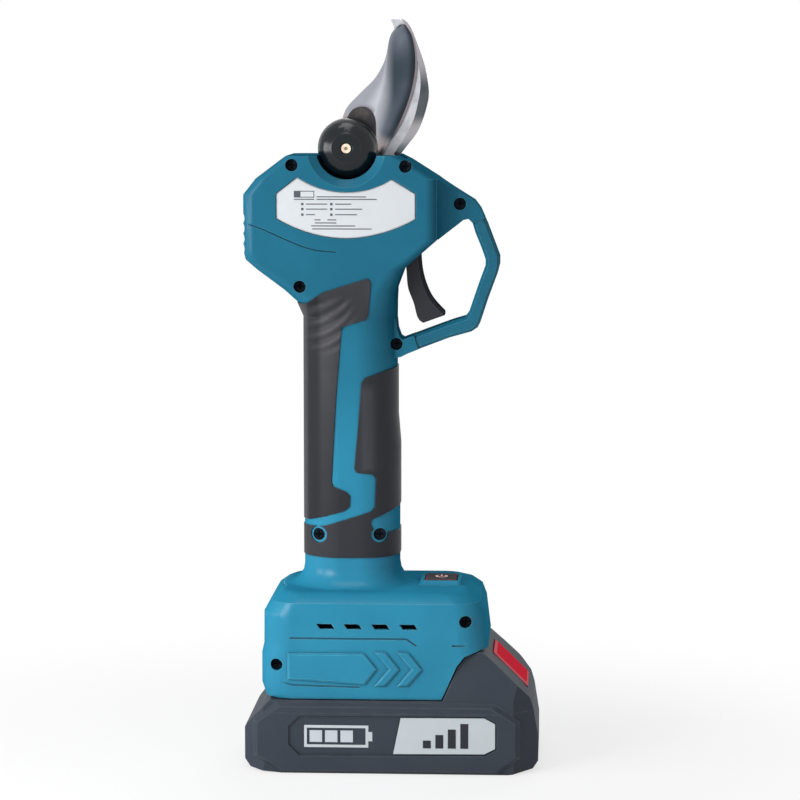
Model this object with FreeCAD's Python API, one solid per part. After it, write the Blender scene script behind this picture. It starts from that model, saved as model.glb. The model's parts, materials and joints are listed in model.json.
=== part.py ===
"""Battery electric pruner: a clamshell tool with a bypass blade head, driven by a motor in its handle
through a planetary stage and a bevel sector, and a slide-on battery pack that it stands on.

Millimetres. +Z is up the handle, +X is the trigger side, -Y is the labelled front. The origin lies on the
face that the pack stands on, under the drive axis.
"""
import FreeCAD, Part
import math
import os

V = FreeCAD.Vector

# ---- Heights of the main features above the standing face ----
PIVOT_Z = 250.0          # blade pivot
COLLAR_Z = 85.0          # lower edge of the grip collar
FOOT_TOP_Z = 72.5        # flat top of the foot
SEAT_Z = 30.0            # underside of the foot
HEAD_TOP = PIVOT_Z - 3.0

# ---- Housing ----
WALL = 2.4
HEAD_DEPTH = 21.5        # half depth of the head, front to parting plane
HANDLE_DEPTH = 19.3
FOOT_DEPTH = 34.0
NECK_FLARE = 9.0         # radius of the concave sweep from neck to foot
GRIP_RISE = 0.4          # rubber stands this far out of the shell
GRIP_SINK = 1.2          # and is let in this deep
GUARD_DEPTH = 8.0
LABEL_THICK = 0.25
LABEL_RECESS = 0.45
SCREW_RECESS_R = 2.5
SCREW_HEAD_R = 2.3
SCREW_R = 1.3
BOSS_R = 4.6

# ---- Blades and pivot ----
BLADE_THICK = 4.0
CUT_GAP = 0.15           # between the two blades
HUB_R = 11.5
BOLT_R = 4.0
RUNNING_FIT = 0.05
BUSH_R = 6.0
PLATE_THICK = 4.0        # drive gear plate
CAP_R = 12.0
CAP_FACE_R = 6.4
CAP_FRONT = 21.0
BOLT_HEAD_R = 6.0
BOLT_HEAD = 3.2
NUT_R = 7.4
NUT_THICK = 4.0
DRIVE_PIN_R = 1.8
SLACK = 0.4              # between parts that pass one another

# ---- Bevel drive from the motor axis to the blade axis ----
BEVEL_MODULE = 1.0
PINION_TEETH = 12
SECTOR_TEETH = 36
BEVEL_TOE = 0.7          # toe of a tooth, as a share of its heel distance from the apex

# ---- Planetary stage ----
PLANET_MODULE = 0.55
SUN_TEETH = 12
PLANET_TEETH = 18
RING_TEETH = SUN_TEETH + 2 * PLANET_TEETH
PLANET_COUNT = 3
GEAR_FACE = 8.0
GEAR_R = 15.5            # outside of the gearbox
CARRIER_PIN_R = 1.5
SHAFT_R = 4.0            # pinion shaft

# ---- Motor ----
MOTOR_R = 14.6
MOTOR_LENGTH = 52.0
CAN_WALL = 1.2
ROTOR_R = 8.8
AIR_GAP = 0.5
MOTOR_SHAFT_R = 2.0
BEARING_R = 5.5

# ---- Trigger ----
TRIGGER_W = 11.4
TRIGGER_X = 24.0
TRIGGER_Z = PIVOT_Z - 36.0
TRIGGER_HUB_R = 5.0
TRIGGER_PIN_R = 1.5

# ---- Power button ----
BUTTON_X = 37.5
BUTTON_LX = 13.0
BUTTON_LY = 16.0
BUTTON_TRAVEL = 0.9
BOSS_RISE = 1.8

# ---- Battery pack ----
PACK_DEPTH = 35.5
PLATEAU_RISE = 2.0
PACK_WALL = 2.2
PACK_GAP = 0.3           # running gap between the pack and the foot
PACK_TOP = SEAT_Z - PACK_GAP
SPLIT_Z = 25.0
RAIL_STEM = 19.0
RAIL_HEAD = 23.0
RAIL_LIP = 3.7
RAIL_TOP = 8.6           # roof of the rail channel above the underside of the foot
RAIL_X0 = -27.0
RAIL_X1 = 40.0
CELL_R = 9.1
CELL_LENGTH = 64.0
CELL_COUNT = 5
CELL_PITCH = 19.4
LATCH_HALF = 14.0
LATCH_TRAVEL = 3.0

FRONT, REAR = -1, 1


# ---- Helpers ----
def box(x0, x1, y0, y1, z0, z1):
    """Block between two corners."""
    return Part.makeBox(x1 - x0, y1 - y0, z1 - z0, V(x0, y0, z0))


def rod(start, axis, length, radius):
    """Round bar from a start point along an axis."""
    return Part.makeCylinder(radius, length, V(*start), V(*axis))


def ring(start, axis, length, outer, inner):
    """Round tube from a start point along an axis."""
    return rod(start, axis, length, outer).cut(rod(start, axis, length, inner))


def closed(points):
    """Closed polygon wire through 3-D points."""
    return Part.makePolygon([V(*p) for p in points] + [V(*points[0])])


def slab_y(points, y0, y1):
    """Outline of (x, z) points, extruded from y0 to y1."""
    return Part.Face(closed([(x, y0, z) for x, z in points])).extrude(V(0, y1 - y0, 0))


def slab_z(points, z0, z1):
    """Outline of (x, y) points, extruded from z0 to z1."""
    return Part.Face(closed([(x, y, z0) for x, y in points])).extrude(V(0, 0, z1 - z0))


def curve(points):
    """Smooth edge through 3-D points."""
    spline = Part.BSplineCurve()
    spline.interpolate([V(*p) for p in points])
    return spline.toShape()


def smooth_wire(runs, y):
    """Closed wire in a plane of constant y: runs of two points are straight, longer ones are smooth."""
    edges = []
    for run in runs:
        points = [(x, y, z) for x, z in run]
        edges.append(Part.makeLine(V(*points[0]), V(*points[1])) if len(run) == 2 else curve(points))
    return Part.Wire(edges)


def smooth_slab(runs, y0, y1):
    """Closed smooth outline extruded from y0 to y1."""
    return Part.Face(smooth_wire(runs, y0)).extrude(V(0, y1 - y0, 0))


def above_pivot(points):
    """Points given relative to the pivot height, as absolute (x, z)."""
    return [(x, PIVOT_Z + dz) for x, dz in points]


def fuse(shapes):
    """One shape from many, with their shared faces merged."""
    shapes = list(shapes)
    return shapes[0].multiFuse(shapes[1:]).removeSplitter() if len(shapes) > 1 else shapes[0]


def section(z, x0, x1, depth, radius):
    """Rounded-rectangle wire at height z."""
    r = min(radius, depth - 0.5, (x1 - x0) / 2 - 0.5)
    k = r * (1 - math.sqrt(0.5))
    corners = [
        ((x1 - r, -depth), (x1 - k, -depth + k), (x1, -depth + r)),
        ((x1, depth - r), (x1 - k, depth - k), (x1 - r, depth)),
        ((x0 + r, depth), (x0 + k, depth - k), (x0, depth - r)),
        ((x0, -depth + r), (x0 + k, -depth + k), (x0 + r, -depth)),
    ]
    edges = []
    for corner, following in zip(corners, corners[1:] + corners[:1]):
        start, middle, end = (V(x, y, z) for x, y in corner)
        edges.append(Part.Arc(start, middle, end).toShape())
        edges.append(Part.makeLine(end, V(following[0][0], following[0][1], z)))
    return Part.Wire(edges)


def lofted(rows):
    """Solid through rounded-rectangle rows of (z, x0, x1, depth, radius), straight where two rows are alike."""
    runs = []
    for low, high in zip(rows, rows[1:]):
        if low[1:] == high[1:]:
            runs.append(Part.Face(section(*low)).extrude(V(0, 0, high[0] - low[0])))
        else:
            runs.append(Part.makeLoft([section(*low), section(*high)], True, True))
    return fuse(runs)


# ---- Housing ----
# Rows of (height, left, right, half depth, corner radius) from the collar up to the top of the head
COLUMN_ROWS = [(COLLAR_Z, -18.3, 20.4, HANDLE_DEPTH, 16.0), (COLLAR_Z + 45, -18.3, 20.4, HANDLE_DEPTH, 16.0)] + [
    (PIVOT_Z + dz, left, right, depth, corner) for dz, left, right, depth, corner in (
        (-108, -18.3, 19.4, HANDLE_DEPTH, 16.0), (-68, -18.3, 19.4, HANDLE_DEPTH, 16.0),
        (-62, -20.4, 19.2, HANDLE_DEPTH + 0.5, 11.0), (-57, -25.5, 19.3, HEAD_DEPTH - 1.2, 8.5),
        (-48.5, -36.3, 22.4, HEAD_DEPTH - 0.3, 5.5), (-44.5, -40.7, 27.0, HEAD_DEPTH, 4.5),
        (-40.8, -41.6, 31.3, HEAD_DEPTH, 4.5), (-36.7, -41.6, 36.0, HEAD_DEPTH, 4.5),
        (-18.5, -41.6, 36.0, HEAD_DEPTH, 4.5), (-12.1, -36.6, 36.0, HEAD_DEPTH, 4.5),
        (-5.1, -27.3, 24.9, HEAD_DEPTH, 4.0), (-3, -24.4, 20.8, HEAD_DEPTH, 4.0))]
NECK_LEFT, NECK_RIGHT, NECK_CORNER = COLUMN_ROWS[0][1], COLUMN_ROWS[0][2], COLUMN_ROWS[0][4]
FOOT_ROWS = [(SEAT_Z, -32.6, 57.4, FOOT_DEPTH, 12), (SEAT_Z + 5, -34.3, 57.6, FOOT_DEPTH, 12),
             (SEAT_Z + 17, -34.3, 57.6, FOOT_DEPTH, 12), (SEAT_Z + 21, -33.4, 57.2, FOOT_DEPTH, 12),
             (FOOT_TOP_Z - 8.5, -33.3, 55.6, FOOT_DEPTH, 12), (FOOT_TOP_Z - 4, -30.7, 53.9, FOOT_DEPTH - 1.4, 11),
             (FOOT_TOP_Z - 1.2, -27.0, 50.3, FOOT_DEPTH - 4.6, 10), (FOOT_TOP_Z, -24.5, 46.5, FOOT_DEPTH - 7.5, 9)]
FLOOR_Z = SEAT_Z + RAIL_TOP + 2.6


def column(offset):
    """Handle and head outline as one solid, grown by the offset."""
    return lofted([(z, x0 - offset, x1 + offset, depth + offset, corner + offset)
                   for z, x0, x1, depth, corner in COLUMN_ROWS])


NECK_STEPS = 4


def neck():
    """Concave sweep between the handle and the flat top of the foot."""
    rows = []
    for step in range(NECK_STEPS + 1):
        rise = NECK_FLARE * (step / NECK_STEPS) ** 1.4
        spread = NECK_FLARE - math.sqrt(NECK_FLARE ** 2 - (NECK_FLARE - rise) ** 2)
        rows.append((FOOT_TOP_Z - 0.5 + rise, NECK_LEFT - spread, NECK_RIGHT + spread,
                     HANDLE_DEPTH + min(spread, 7.0), NECK_CORNER + spread))
    rows.append((COLLAR_Z, NECK_LEFT, NECK_RIGHT, HANDLE_DEPTH, NECK_CORNER))
    return lofted(rows)


def arm():
    """Narrowing arm on the trigger side that carries the top of the guard."""
    side = slab_y(above_pivot([
        (18, -8), (29.7, -8.3), (40.3, -14.8), (50.8, -21.2), (53.2, -24.4), (54.9, -28.2), (50.0, -30.1),
        (48.4, -28.5), (46.4, -28.9), (43.9, -30.9), (36.6, -36.4), (32, -34.5), (18, -34.5)]),
        -HEAD_DEPTH, HEAD_DEPTH)
    half = [(17, 18.5), (36, 18.5), (37.5, 15), (40, 12.2), (44, 10), (49, 8.6), (56, GUARD_DEPTH)]
    plan = half + [(x, -y) for x, y in reversed(half)]
    return side.common(slab_z(plan, PIVOT_Z - 50, PIVOT_Z))


GUARD_OUTER = [(54.9, -28.2), (56.1, -30.9), (59.8, -40.6), (61, -43.8), (61, -47.1), (60.2, -50.3),
               (56.6, -60.1), (53.4, -69.9), (52.2, -72.3), (49.7, -74), (40.8, -76.5), (28.2, -81.3)]
GUARD_INNER = [(26.5, -75.7), (33, -73.2), (42, -69.9), (47.3, -68.3), (48.5, -66.6), (52.9, -53.6),
               (55.3, -47.1), (55.3, -44.7), (53.7, -40.2), (51.2, -34.1), (50.0, -30.1)]


def guard_stub():
    """Root of the guard's lower arm on the handle."""
    return slab_y(above_pivot([
        (12, -86), (21.2, -84.4), (23.7, -83.1), (28.2, -81.3), (26.5, -75.7), (24.1, -76.6), (22, -77.4),
        (20.8, -76.6), (19.6, -73.3), (19.2, -69.2), (12, -66)]), -GUARD_DEPTH - 0.6, GUARD_DEPTH + 0.6)


def guard_tongues():
    """Two tongues of the guard, held between the shell halves."""
    upper = above_pivot([(52.6, -29.3), (50.0, -30.1), (47.4, -26.9), (50.2, -23.9), (54.2, -27.8)])
    lower = above_pivot([(26.5, -75.7), (28.2, -81.3), (22.3, -82.2), (21.6, -79.0)])
    return [slab_y(outline, -3, 3) for outline in (upper, lower)]


def trigger_guard():
    """Hoop that joins the arm to the handle in front of the trigger."""
    hoop = slab_y(above_pivot(GUARD_OUTER + GUARD_INNER), -GUARD_DEPTH, GUARD_DEPTH)
    rims = [edge for edge in hoop.Edges if abs(abs(edge.CenterOfMass.y) - GUARD_DEPTH) < 0.01
            and edge.Length > 1.6 and abs(edge.CenterOfMass.z - PIVOT_Z + 29.1) > 0.3
            and abs(edge.CenterOfMass.z - PIVOT_Z + 78.5) > 0.3]
    return fuse([hoop.makeChamfer(1.1, rims)] + guard_tongues())


SCREWS = [  # x, height, depth of the face there, length
    (-21.8, PIVOT_Z - 6.6, HEAD_DEPTH, 30), (23.6, PIVOT_Z - 7.1, HEAD_DEPTH, 30),
    (45.0, PIVOT_Z - 22.4, 9.8, 12), (-18.8, PIVOT_Z - 55.2, 20.0, 26), (19.4, PIVOT_Z - 79.1, GUARD_DEPTH + 0.6, 10),
    (-11.6, COLLAR_Z + 9.2, 18.4, 24), (13.1, COLLAR_Z + 9.4, 18.4, 24), (-27.6, SEAT_Z + 13.5, 31.5, 40),
    (48.3, SEAT_Z + 31.6, 33.2, 44)]
SCREW_DEEP = 4.0


def screw_recess(x, z, face):
    """Round well that hides a screw head."""
    return rod((x, -face - 3, z), (0, 1, 0), SCREW_DEEP + 3, SCREW_RECESS_R)


def housing_screws():
    """Cross-recess screws that draw the two halves together."""
    screws = []
    for x, z, face, length in SCREWS:
        seat = -face + SCREW_DEEP
        head = rod((x, seat - 1.6, z), (0, 1, 0), 1.6, SCREW_HEAD_R)
        cross = box(x - 1.4, x + 1.4, seat - 1.7, seat - 0.7, z - 0.3, z + 0.3).fuse(
            box(x - 0.3, x + 0.3, seat - 1.7, seat - 0.7, z - 1.4, z + 1.4))
        screws.append(head.fuse(rod((x, seat, z), (0, 1, 0), length, SCREW_R)).cut(cross))
    return Part.makeCompound(screws)


def grip_regions():
    """Outlines of the palm pad and of the finger pad with its collar, as (x, z)."""
    low = COLLAR_Z
    top = PIVOT_Z
    palm = [(-60, top - 62.2), (-16.7, top - 62.2), (-9.4, top - 57.5), (8.6, top - 51.8), (9.8, top - 53.2),
            (8.7, top - 66.6), (7.8, top - 68.4), (-1.2, top - 71.2), (-2.2, top - 72.5), (-4.3, top - 99.1),
            (-6.3, low + 31), (-5.6, low + 29), (-0.3, low + 26.9), (1.3, low + 25.3), (1.1, low + 20.8),
            (-1.1, low + 19.1), (-16.2, low + 14.7), (-60, low + 13.2)]
    finger = [(60, top - 87.2), (21.4, top - 88), (14.3, top - 89.7), (7.2, top - 92), (5.9, top - 94),
              (4.6, top - 110.8), (3.0, low + 36.3), (4.0, low + 34.7), (10.3, low + 33.9), (11.7, low + 32.3),
              (11.2, low + 20.5), (9.7, low + 18.8), (-9.5, low + 12.7), (-60, low + 9.6), (-60, low), (60, low),
              (60, low + 10.6), (16.9, low + 10), (10.4, low + 12), (9.6, low + 14), (10.2, low + 15.7),
              (15.9, low + 17.9), (21.8, low + 20.6), (60, low + 21.2)]
    return palm, finger


def screw_collars(grow):
    """Round shell bosses that stand through the rubber collar."""
    return fuse(rod((x, -60, z), (0, 1, 0), 60, SCREW_RECESS_R + 0.9 + grow) for x, z, _, _ in SCREWS[5:7])


def grip_prism(outline, side):
    """Everything on one side of the parting plane inside a grip outline."""
    prism = slab_y(outline, -60, 0)
    prism = prism.cut(screw_collars(0.0))
    return prism if side == FRONT else prism.mirror(V(0, 0, 0), V(0, 1, 0))


def grip(outline, side):
    """Soft overmoulded pad: a skin between two offsets of the handle, with shallow grooves."""
    pad = column(GRIP_RISE).cut(column(-GRIP_SINK)).common(grip_prism(outline, side))
    return pad


RATING_LABEL = [[(-27.8, -18.0), (-19.4, -11.5)], [(-19.4, -11.5), (-10.2, -15.9), (-0.3, -17.4), (9.4, -16.2),
                (18.1, -12.3)], [(18.1, -12.3), (27.6, -18.0)], [(27.6, -18.0), (27.6, -28.0)],
                [(27.6, -28.0), (14.0, -33.7), (-0.3, -35.7), (-14.5, -33.6), (-27.8, -27.8)],
                [(-27.8, -27.8), (-27.8, -18.0)]]


def label_slab(grow, y0, y1):
    """Label outline, grown about its middle, from y0 to y1."""
    middle = -23.5
    runs = [above_pivot([(x * (1 + grow / 27.7), middle + (z - middle) * (1 + grow / 12)) for x, z in run])
            for run in RATING_LABEL]
    return smooth_slab(runs, y0, y1)


def rating_label():
    """Bare label in its recess on the front of the head."""
    floor = -HEAD_DEPTH + LABEL_RECESS
    return label_slab(0.0, floor - LABEL_THICK, floor)


def cap_well():
    """Round well in the front shell that the pivot cap sits in."""
    well = rod((0, -60, PIVOT_Z), (0, 1, 0), 60 - (HUB_FRONT + SLACK), CAP_R + SLACK)
    mouth = Part.makeCone(CAP_R + SLACK + 3.2, CAP_R + SLACK, 2.2, V(0, -HEAD_DEPTH, PIVOT_Z), V(0, 1, 0))
    return well.fuse(mouth)


HUB_FRONT = CUT_GAP + BLADE_THICK + PLATE_THICK      # front of the drive plate, as a distance towards -Y


def cap_wall():
    """Wall round the pivot cap inside the front shell."""
    depth = HEAD_DEPTH - HUB_FRONT - SLACK
    wall = rod((0, -HEAD_DEPTH + 0.2, PIVOT_Z), (0, 1, 0), depth - 0.2, CAP_R + SLACK + 4.6)
    return wall.common(box(-40, 40, -HEAD_DEPTH, 0, PIVOT_Z - 40, HEAD_TOP))


BOARD_Z = FLOOR_Z + 5.0
BOARD_POSTS = [(-18, 18), (-18, -18), (40, 18), (40, -18)]
MOTOR_Z0 = PIVOT_Z - 120.0
MOTOR_Z1 = MOTOR_Z0 + MOTOR_LENGTH
RING_Z0 = MOTOR_Z1 + 2.0
RING_Z1 = RING_Z0 + 16.0
COVER_Z1 = RING_Z1 + 3.0


def stiffeners():
    """Cross ribs that hold the motor, the gearbox and the drive frame on the handle axis."""
    ribs = []
    for z0, radius in ((MOTOR_Z0 + 8, MOTOR_R), (MOTOR_Z1 - 10, MOTOR_R), (RING_Z1 - 5, GEAR_R),
                       (COVER_Z1 + 6, GEAR_R)):
        ribs.append(box(-60, GEAR_R + 2, -40, 40, z0, z0 + 2.2).cut(rod((0, 0, z0 - 1), (0, 0, 1), 5, radius)))
    return ribs


SWITCH_LX, SWITCH_LY, SWITCH_H = 8.0, 9.0, 7.0
SWITCH_TOP = FOOT_TOP_Z - 5.0


def power_collar():
    """Square collar under the top of the foot that holds the power switch."""
    x0, x1 = BUTTON_X - SWITCH_LX / 2, BUTTON_X + SWITCH_LX / 2
    half = SWITCH_LY / 2
    lx, ly = BUTTON_LX / 2 + 1.8, BUTTON_LY / 2 + 1.8
    outer = box(BUTTON_X - lx, BUTTON_X + lx, -ly, ly, SWITCH_TOP - SWITCH_H, FOOT_TOP_Z - 1.5)
    return outer.cut(box(x0, x1, -half, half, 0, FOOT_TOP_Z))


def button_boss():
    """Raised pad on the foot round the power button."""
    lx, ly = BUTTON_LX / 2, BUTTON_LY / 2
    low = section(FOOT_TOP_Z - 0.6, BUTTON_X - lx - 2.8, BUTTON_X + lx + 2.8, ly + 3.2, 2.5)
    high = section(FOOT_TOP_Z + BOSS_RISE, BUTTON_X - lx - 1.6, BUTTON_X + lx + 1.6, ly + 1.8, 2.0)
    return Part.makeLoft([low, high], True, True)


def foot_relief():
    """Shapes cut from the front and rear faces of the foot: vents and drip grooves."""
    face = FOOT_DEPTH
    cuts = []
    for side in (FRONT, REAR):
        def plate(points, deep):
            return slab_y(points, side * (face - deep), side * (face + 3))
        for x in (-11.4, -0.5, 10.7, 21.9):
            cuts.append(plate([(x, SEAT_Z + 30.5), (x + 6, SEAT_Z + 30.5), (x + 7.4, SEAT_Z + 28.4),
                               (x + 1.4, SEAT_Z + 28.4)], WALL + 1))
        cuts.append(plate([(-19, SEAT_Z + 36.3), (33, SEAT_Z + 36.3), (33, SEAT_Z + 35.7), (-19, SEAT_Z + 35.7)], 0.5))
        cuts.append(plate([(45.6, SEAT_Z + 36.3), (51.6, SEAT_Z + 36.3), (51.6, SEAT_Z + 35.7),
                           (45.6, SEAT_Z + 35.7)], 0.5))
        cuts.append(plate([(-22, SEAT_Z + 25), (25, SEAT_Z + 25), (29.2, SEAT_Z + 22), (28.4, SEAT_Z + 21.7),
                           (24.8, SEAT_Z + 24.2), (-22, SEAT_Z + 24.2)], 0.6))
        cuts.append(plate([(43, SEAT_Z + 22.4), (54, SEAT_Z + 22.4), (54, SEAT_Z + 21.6), (43, SEAT_Z + 21.6)], 0.6))
        cuts.append(plate([(-27, SEAT_Z + 7.6), (-21, SEAT_Z + 6.0), (6, SEAT_Z + 5.2), (6, SEAT_Z + 4.6),
                           (-21, SEAT_Z + 5.2), (-27, SEAT_Z + 6.6)], 0.5))
    return cuts


THUMB_RIB_PITCH = 4.1
THUMB_RIB_DEPTH = 0.7
STEP_LINE = [(-44, -28.2), (-34, -31.6), (-26, -35.2), (-18, -38.6), (-12, -40.3), (-4, -41.0)]
STEP_WIDTH = 0.6


def head_relief():
    """Thumb scallops down the palm edge of the head and the step line across its faces."""
    cuts = []
    radius = (THUMB_RIB_PITCH ** 2 / 4 + THUMB_RIB_DEPTH ** 2) / (2 * THUMB_RIB_DEPTH) * 0.9
    left = COLUMN_ROWS[-5][1]
    for index in range(4):
        z = PIVOT_Z - 40.2 + THUMB_RIB_PITCH * index
        cuts.append(rod((left + THUMB_RIB_DEPTH - radius, -30, z), (0, 1, 0), 60, radius))
    band = STEP_LINE + [(x, z - STEP_WIDTH) for x, z in reversed(STEP_LINE)]
    for side in (FRONT, REAR):
        cuts.append(slab_y(above_pivot(band), side * (HEAD_DEPTH - STEP_WIDTH), side * (HEAD_DEPTH + 1)))
    return cuts


CHEVRON_STEP = 9.0


def foot_bars():
    """Raised bar and two chevrons moulded on the faces of the foot."""
    face = FOOT_DEPTH
    raised = []
    for side in (FRONT, REAR):
        outlines = [[(-23, SEAT_Z + 18.6), (7.5, SEAT_Z + 18.8), (12.9, SEAT_Z + 12.4), (8, SEAT_Z + 6),
                     (-23, SEAT_Z + 8)]]
        for shift in (0.0, CHEVRON_STEP):
            outlines.append([(11.9 + shift, SEAT_Z + 19.3), (16.4 + shift, SEAT_Z + 19.3), (22 + shift, SEAT_Z + 12.3),
                             (16.2 + shift, SEAT_Z + 5.5), (11.9 + shift, SEAT_Z + 5.5), (17.6 + shift, SEAT_Z + 12.4)])
        for outline in outlines:
            raised.append(slab_y(outline, side * (face - 1), side * (face + 0.7)))
    return raised


def seat_seam(gap):
    """Everything under the slanted lower right edge of the foot, towards +X, moved by the gap."""
    return slab_y([(38.8 + gap, SEAT_Z - 30), (38.8 + gap, SEAT_Z), (44.8 + gap, SEAT_Z + 13.6),
                   (48.0 + gap, SEAT_Z + 17.6 - gap), (54.4 + gap, SEAT_Z + 19.8 - gap), (90, SEAT_Z + 23 - gap),
                   (90, SEAT_Z - 30)], -80, 80)


def rail_channel():
    """T-shaped channel under the foot that the pack slides along."""
    clear = PACK_GAP
    stem = box(-60, 60, -RAIL_STEM - clear, RAIL_STEM + clear, SEAT_Z - 1, SEAT_Z + RAIL_LIP)
    head = box(RAIL_X0 - clear, 60, -RAIL_HEAD - clear, RAIL_HEAD + clear, SEAT_Z + RAIL_LIP, SEAT_Z + RAIL_TOP)
    end = box(-60, RAIL_X0 - clear, -60, 60, SEAT_Z - 5, SEAT_Z + RAIL_TOP)
    return head.fuse(stem.cut(end))


def blade_port():
    """Opening in the top of the head for the blades and the drive plate."""
    half = HUB_R + 2.0
    back = CUT_GAP + BLADE_THICK + FRAME_THICK + NUT_THICK + 1.5
    hub = box(-half, half, -HUB_FRONT - SLACK, back, HEAD_TOP - 12, HEAD_TOP + 5)
    hook = box(0, 23.5, -HUB_FRONT - SLACK, BLADE_THICK + CUT_GAP + 0.6, HEAD_TOP - 4, HEAD_TOP + 5)
    return hub.fuse(hook)


FRAME_THICK = 5.0


def trigger_slot():
    """Slot in the underside of the arm for the trigger."""
    half = TRIGGER_W / 2 + 0.5
    outline = above_pivot([(18.4, -55), (21.5, -55), (30.2, -47), (30.2, -37), (20, -37), (18.4, -44)])
    return slab_y(outline, -half, half)


def housing():
    """Both halves of the housing as one hollow body, before it is split at the parting plane."""
    outer = fuse([column(0), neck(), lofted(FOOT_ROWS), arm(), guard_stub(), button_boss()] + foot_bars())
    roof = FOOT_TOP_Z - WALL
    inner_rows = [(z, x0 + WALL, x1 - WALL, depth - WALL, corner - WALL)
                  for z, x0, x1, depth, corner in [(FLOOR_Z,) + FOOT_ROWS[2][1:]] + FOOT_ROWS[3:-2]]
    inner_rows.append((roof, FOOT_ROWS[-2][1] + WALL, FOOT_ROWS[-2][2] - WALL, FOOT_ROWS[-2][3] - WALL, 8))
    foot_room = lofted(inner_rows)
    bore = (NECK_LEFT + WALL + 0.6, NECK_RIGHT - WALL - 0.6, HANDLE_DEPTH - WALL - 0.6, NECK_CORNER - WALL)
    neck_room = lofted([(roof - 1.5,) + bore, (COLLAR_Z + 1.0,) + bore])
    handle_room = column(-WALL).cut(box(-60, 60, -60, 60, HEAD_TOP - WALL, HEAD_TOP + 5))
    room = fuse([foot_room, neck_room, handle_room])
    posts = [rod((x, y, FLOOR_Z - 1), (0, 0, 1), BOARD_Z - FLOOR_Z + 1, 3.0) for x, y in BOARD_POSTS]
    bosses = [rod((x, -60, z), (0, 1, 0), 120, BOSS_R) for x, z, _, _ in SCREWS]
    pin_bosses = [ring((TRIGGER_X, side * (TRIGGER_W / 2 + SLACK), TRIGGER_Z), (0, side, 0), 30, 3.6, 1.0)
                  for side in (FRONT, REAR)]
    swing = SECTOR_R + 8
    gear_room = fuse([
        box(-swing, swing, -HUB_FRONT - SLACK, CUT_GAP + BLADE_THICK + FRAME_THICK, COVER_Z1 + 9, HEAD_TOP),
        rod((0, 0, MOTOR_Z1), (0, 0, 1), FRAME_TOP - MOTOR_Z1, GEAR_R), rod((0, 0, 0), (0, 0, 1), MOTOR_Z1, MOTOR_R)])
    inside = fuse(stiffeners() + bosses + pin_bosses + posts + [power_collar(), cap_wall()]).common(room)
    shell = outer.cut(room).fuse(inside.cut(gear_room))
    for cut in foot_relief() + head_relief():
        shell = shell.cut(cut)
    for part in (rail_channel(), seat_seam(0.0), blade_port(), cap_well(), trigger_slot(), button_well(),
                 label_slab(0.35, -HEAD_DEPTH - 1, -HEAD_DEPTH + LABEL_RECESS), latch_notch()):
        shell = shell.cut(part)
    for x, z, face, _ in SCREWS:
        shell = shell.cut(screw_recess(x, z, face))
    shell = shell.cut(terminal_blades()).cut(housing_screws()).cut(Part.makeCompound(guard_tongues())).cut(trigger_pin())
    return shell


def button_well():
    """Hole in the foot for the power button."""
    lx, ly = BUTTON_LX / 2 + 0.3, BUTTON_LY / 2 + 0.3
    return box(BUTTON_X - lx, BUTTON_X + lx, -ly, ly, FOOT_TOP_Z - WALL - 0.4, FOOT_TOP_Z + BOSS_RISE + 1)


def latch_notch():
    """Notch in the lower right corner of the foot that the latch nose rests in."""
    return box(40, 60, -LATCH_NOSE_HALF - 0.6, LATCH_NOSE_HALF + 0.6, SEAT_Z + RAIL_TOP - 0.5, LATCH_NOSE_Z + 1.2)


LATCH_NOSE_HALF = 6.0
LATCH_NOSE_X = 42.4
LATCH_NOSE_Z = SEAT_Z + 13.0


def half_shell(shell, side):
    """One half of the housing, with its pockets for the rubber pads."""
    half = shell.common(box(-80, 80, -60, 0, 0, 300) if side == FRONT else box(-80, 80, 0, 60, 0, 300))
    core = column(-GRIP_SINK)
    for outline in grip_regions():
        half = half.cut(grip_prism(outline, side).cut(core).common(box(-70, 70, -60, 60, COLLAR_Z, PIVOT_Z)))
    return half


# ---- Blades ----
def fixed_blade():
    """Hooked counter blade with its outer edge ground off at the front and a tang inside the head."""
    outer = [(19.0, -5.4), (20.9, -2.4), (23.1, 0.5), (26.8, 5.3), (29.2, 10.2), (31.2, 16.6), (32.0, 21.4), (31.6, 26.2),
             (30.4, 32.7), (28.3, 39.1), (25.9, 45.5), (23.5, 49.9), (20.3, 51.9)]
    ground = [(16.9, -4.1), (18.9, -1.2), (20.9, 1.7), (23.6, 6.4), (25.9, 11.2), (27.5, 17.2), (28.5, 22.6), (28.6, 28.3),
              (27.8, 33.6), (26.4, 39.3), (24.6, 44.8), (22.7, 48.9), (20.3, 51.4)]
    inner = [(16.6, 51.5), (17.9, 47.9), (20.0, 41.5), (21.6, 34.5), (21.6, 27.5), (19.9, 20.5), (16.6, 13.0),
             (12.4, 6.6), (8.5, 2.5)]
    front, land, back = CUT_GAP / 2, CUT_GAP / 2 + 1.6, CUT_GAP / 2 + BLADE_THICK
    tip_flat = [(20.3, 51.9), (16.6, 51.5)]
    root = [(8.5, 2.5), (19.0, -5.4)]
    body = smooth_slab([above_pivot(run) for run in (outer, tip_flat, inner, root)], land, back)
    flat_runs = [above_pivot(run) for run in
                 (ground, [(20.3, 51.4), (16.6, 51.5)], inner, [(8.5, 2.5), (16.9, -4.1)])]
    body_runs = [above_pivot(run) for run in (outer, tip_flat, inner, root)]
    face = Part.makeLoft([smooth_wire(flat_runs, front), smooth_wire(body_runs, land)], True, True)
    hub = rod((0, front, PIVOT_Z), (0, 1, 0), BLADE_THICK, HUB_R)
    tang = slab_y(above_pivot([(-18.8, -11.4), (-18.8, -6), (-12.5, -6), (-8, -1), (10, -1), (18.5, -3.2), (19.8, -6.5), (19.8, -11.4)]),
                  front, back)
    blade = fuse([body, face, hub, tang]).cut(rod((0, -1, PIVOT_Z), (0, 1, 0), 20, BOLT_R))
    return blade.cut(blade_screw_blanks())


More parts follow.
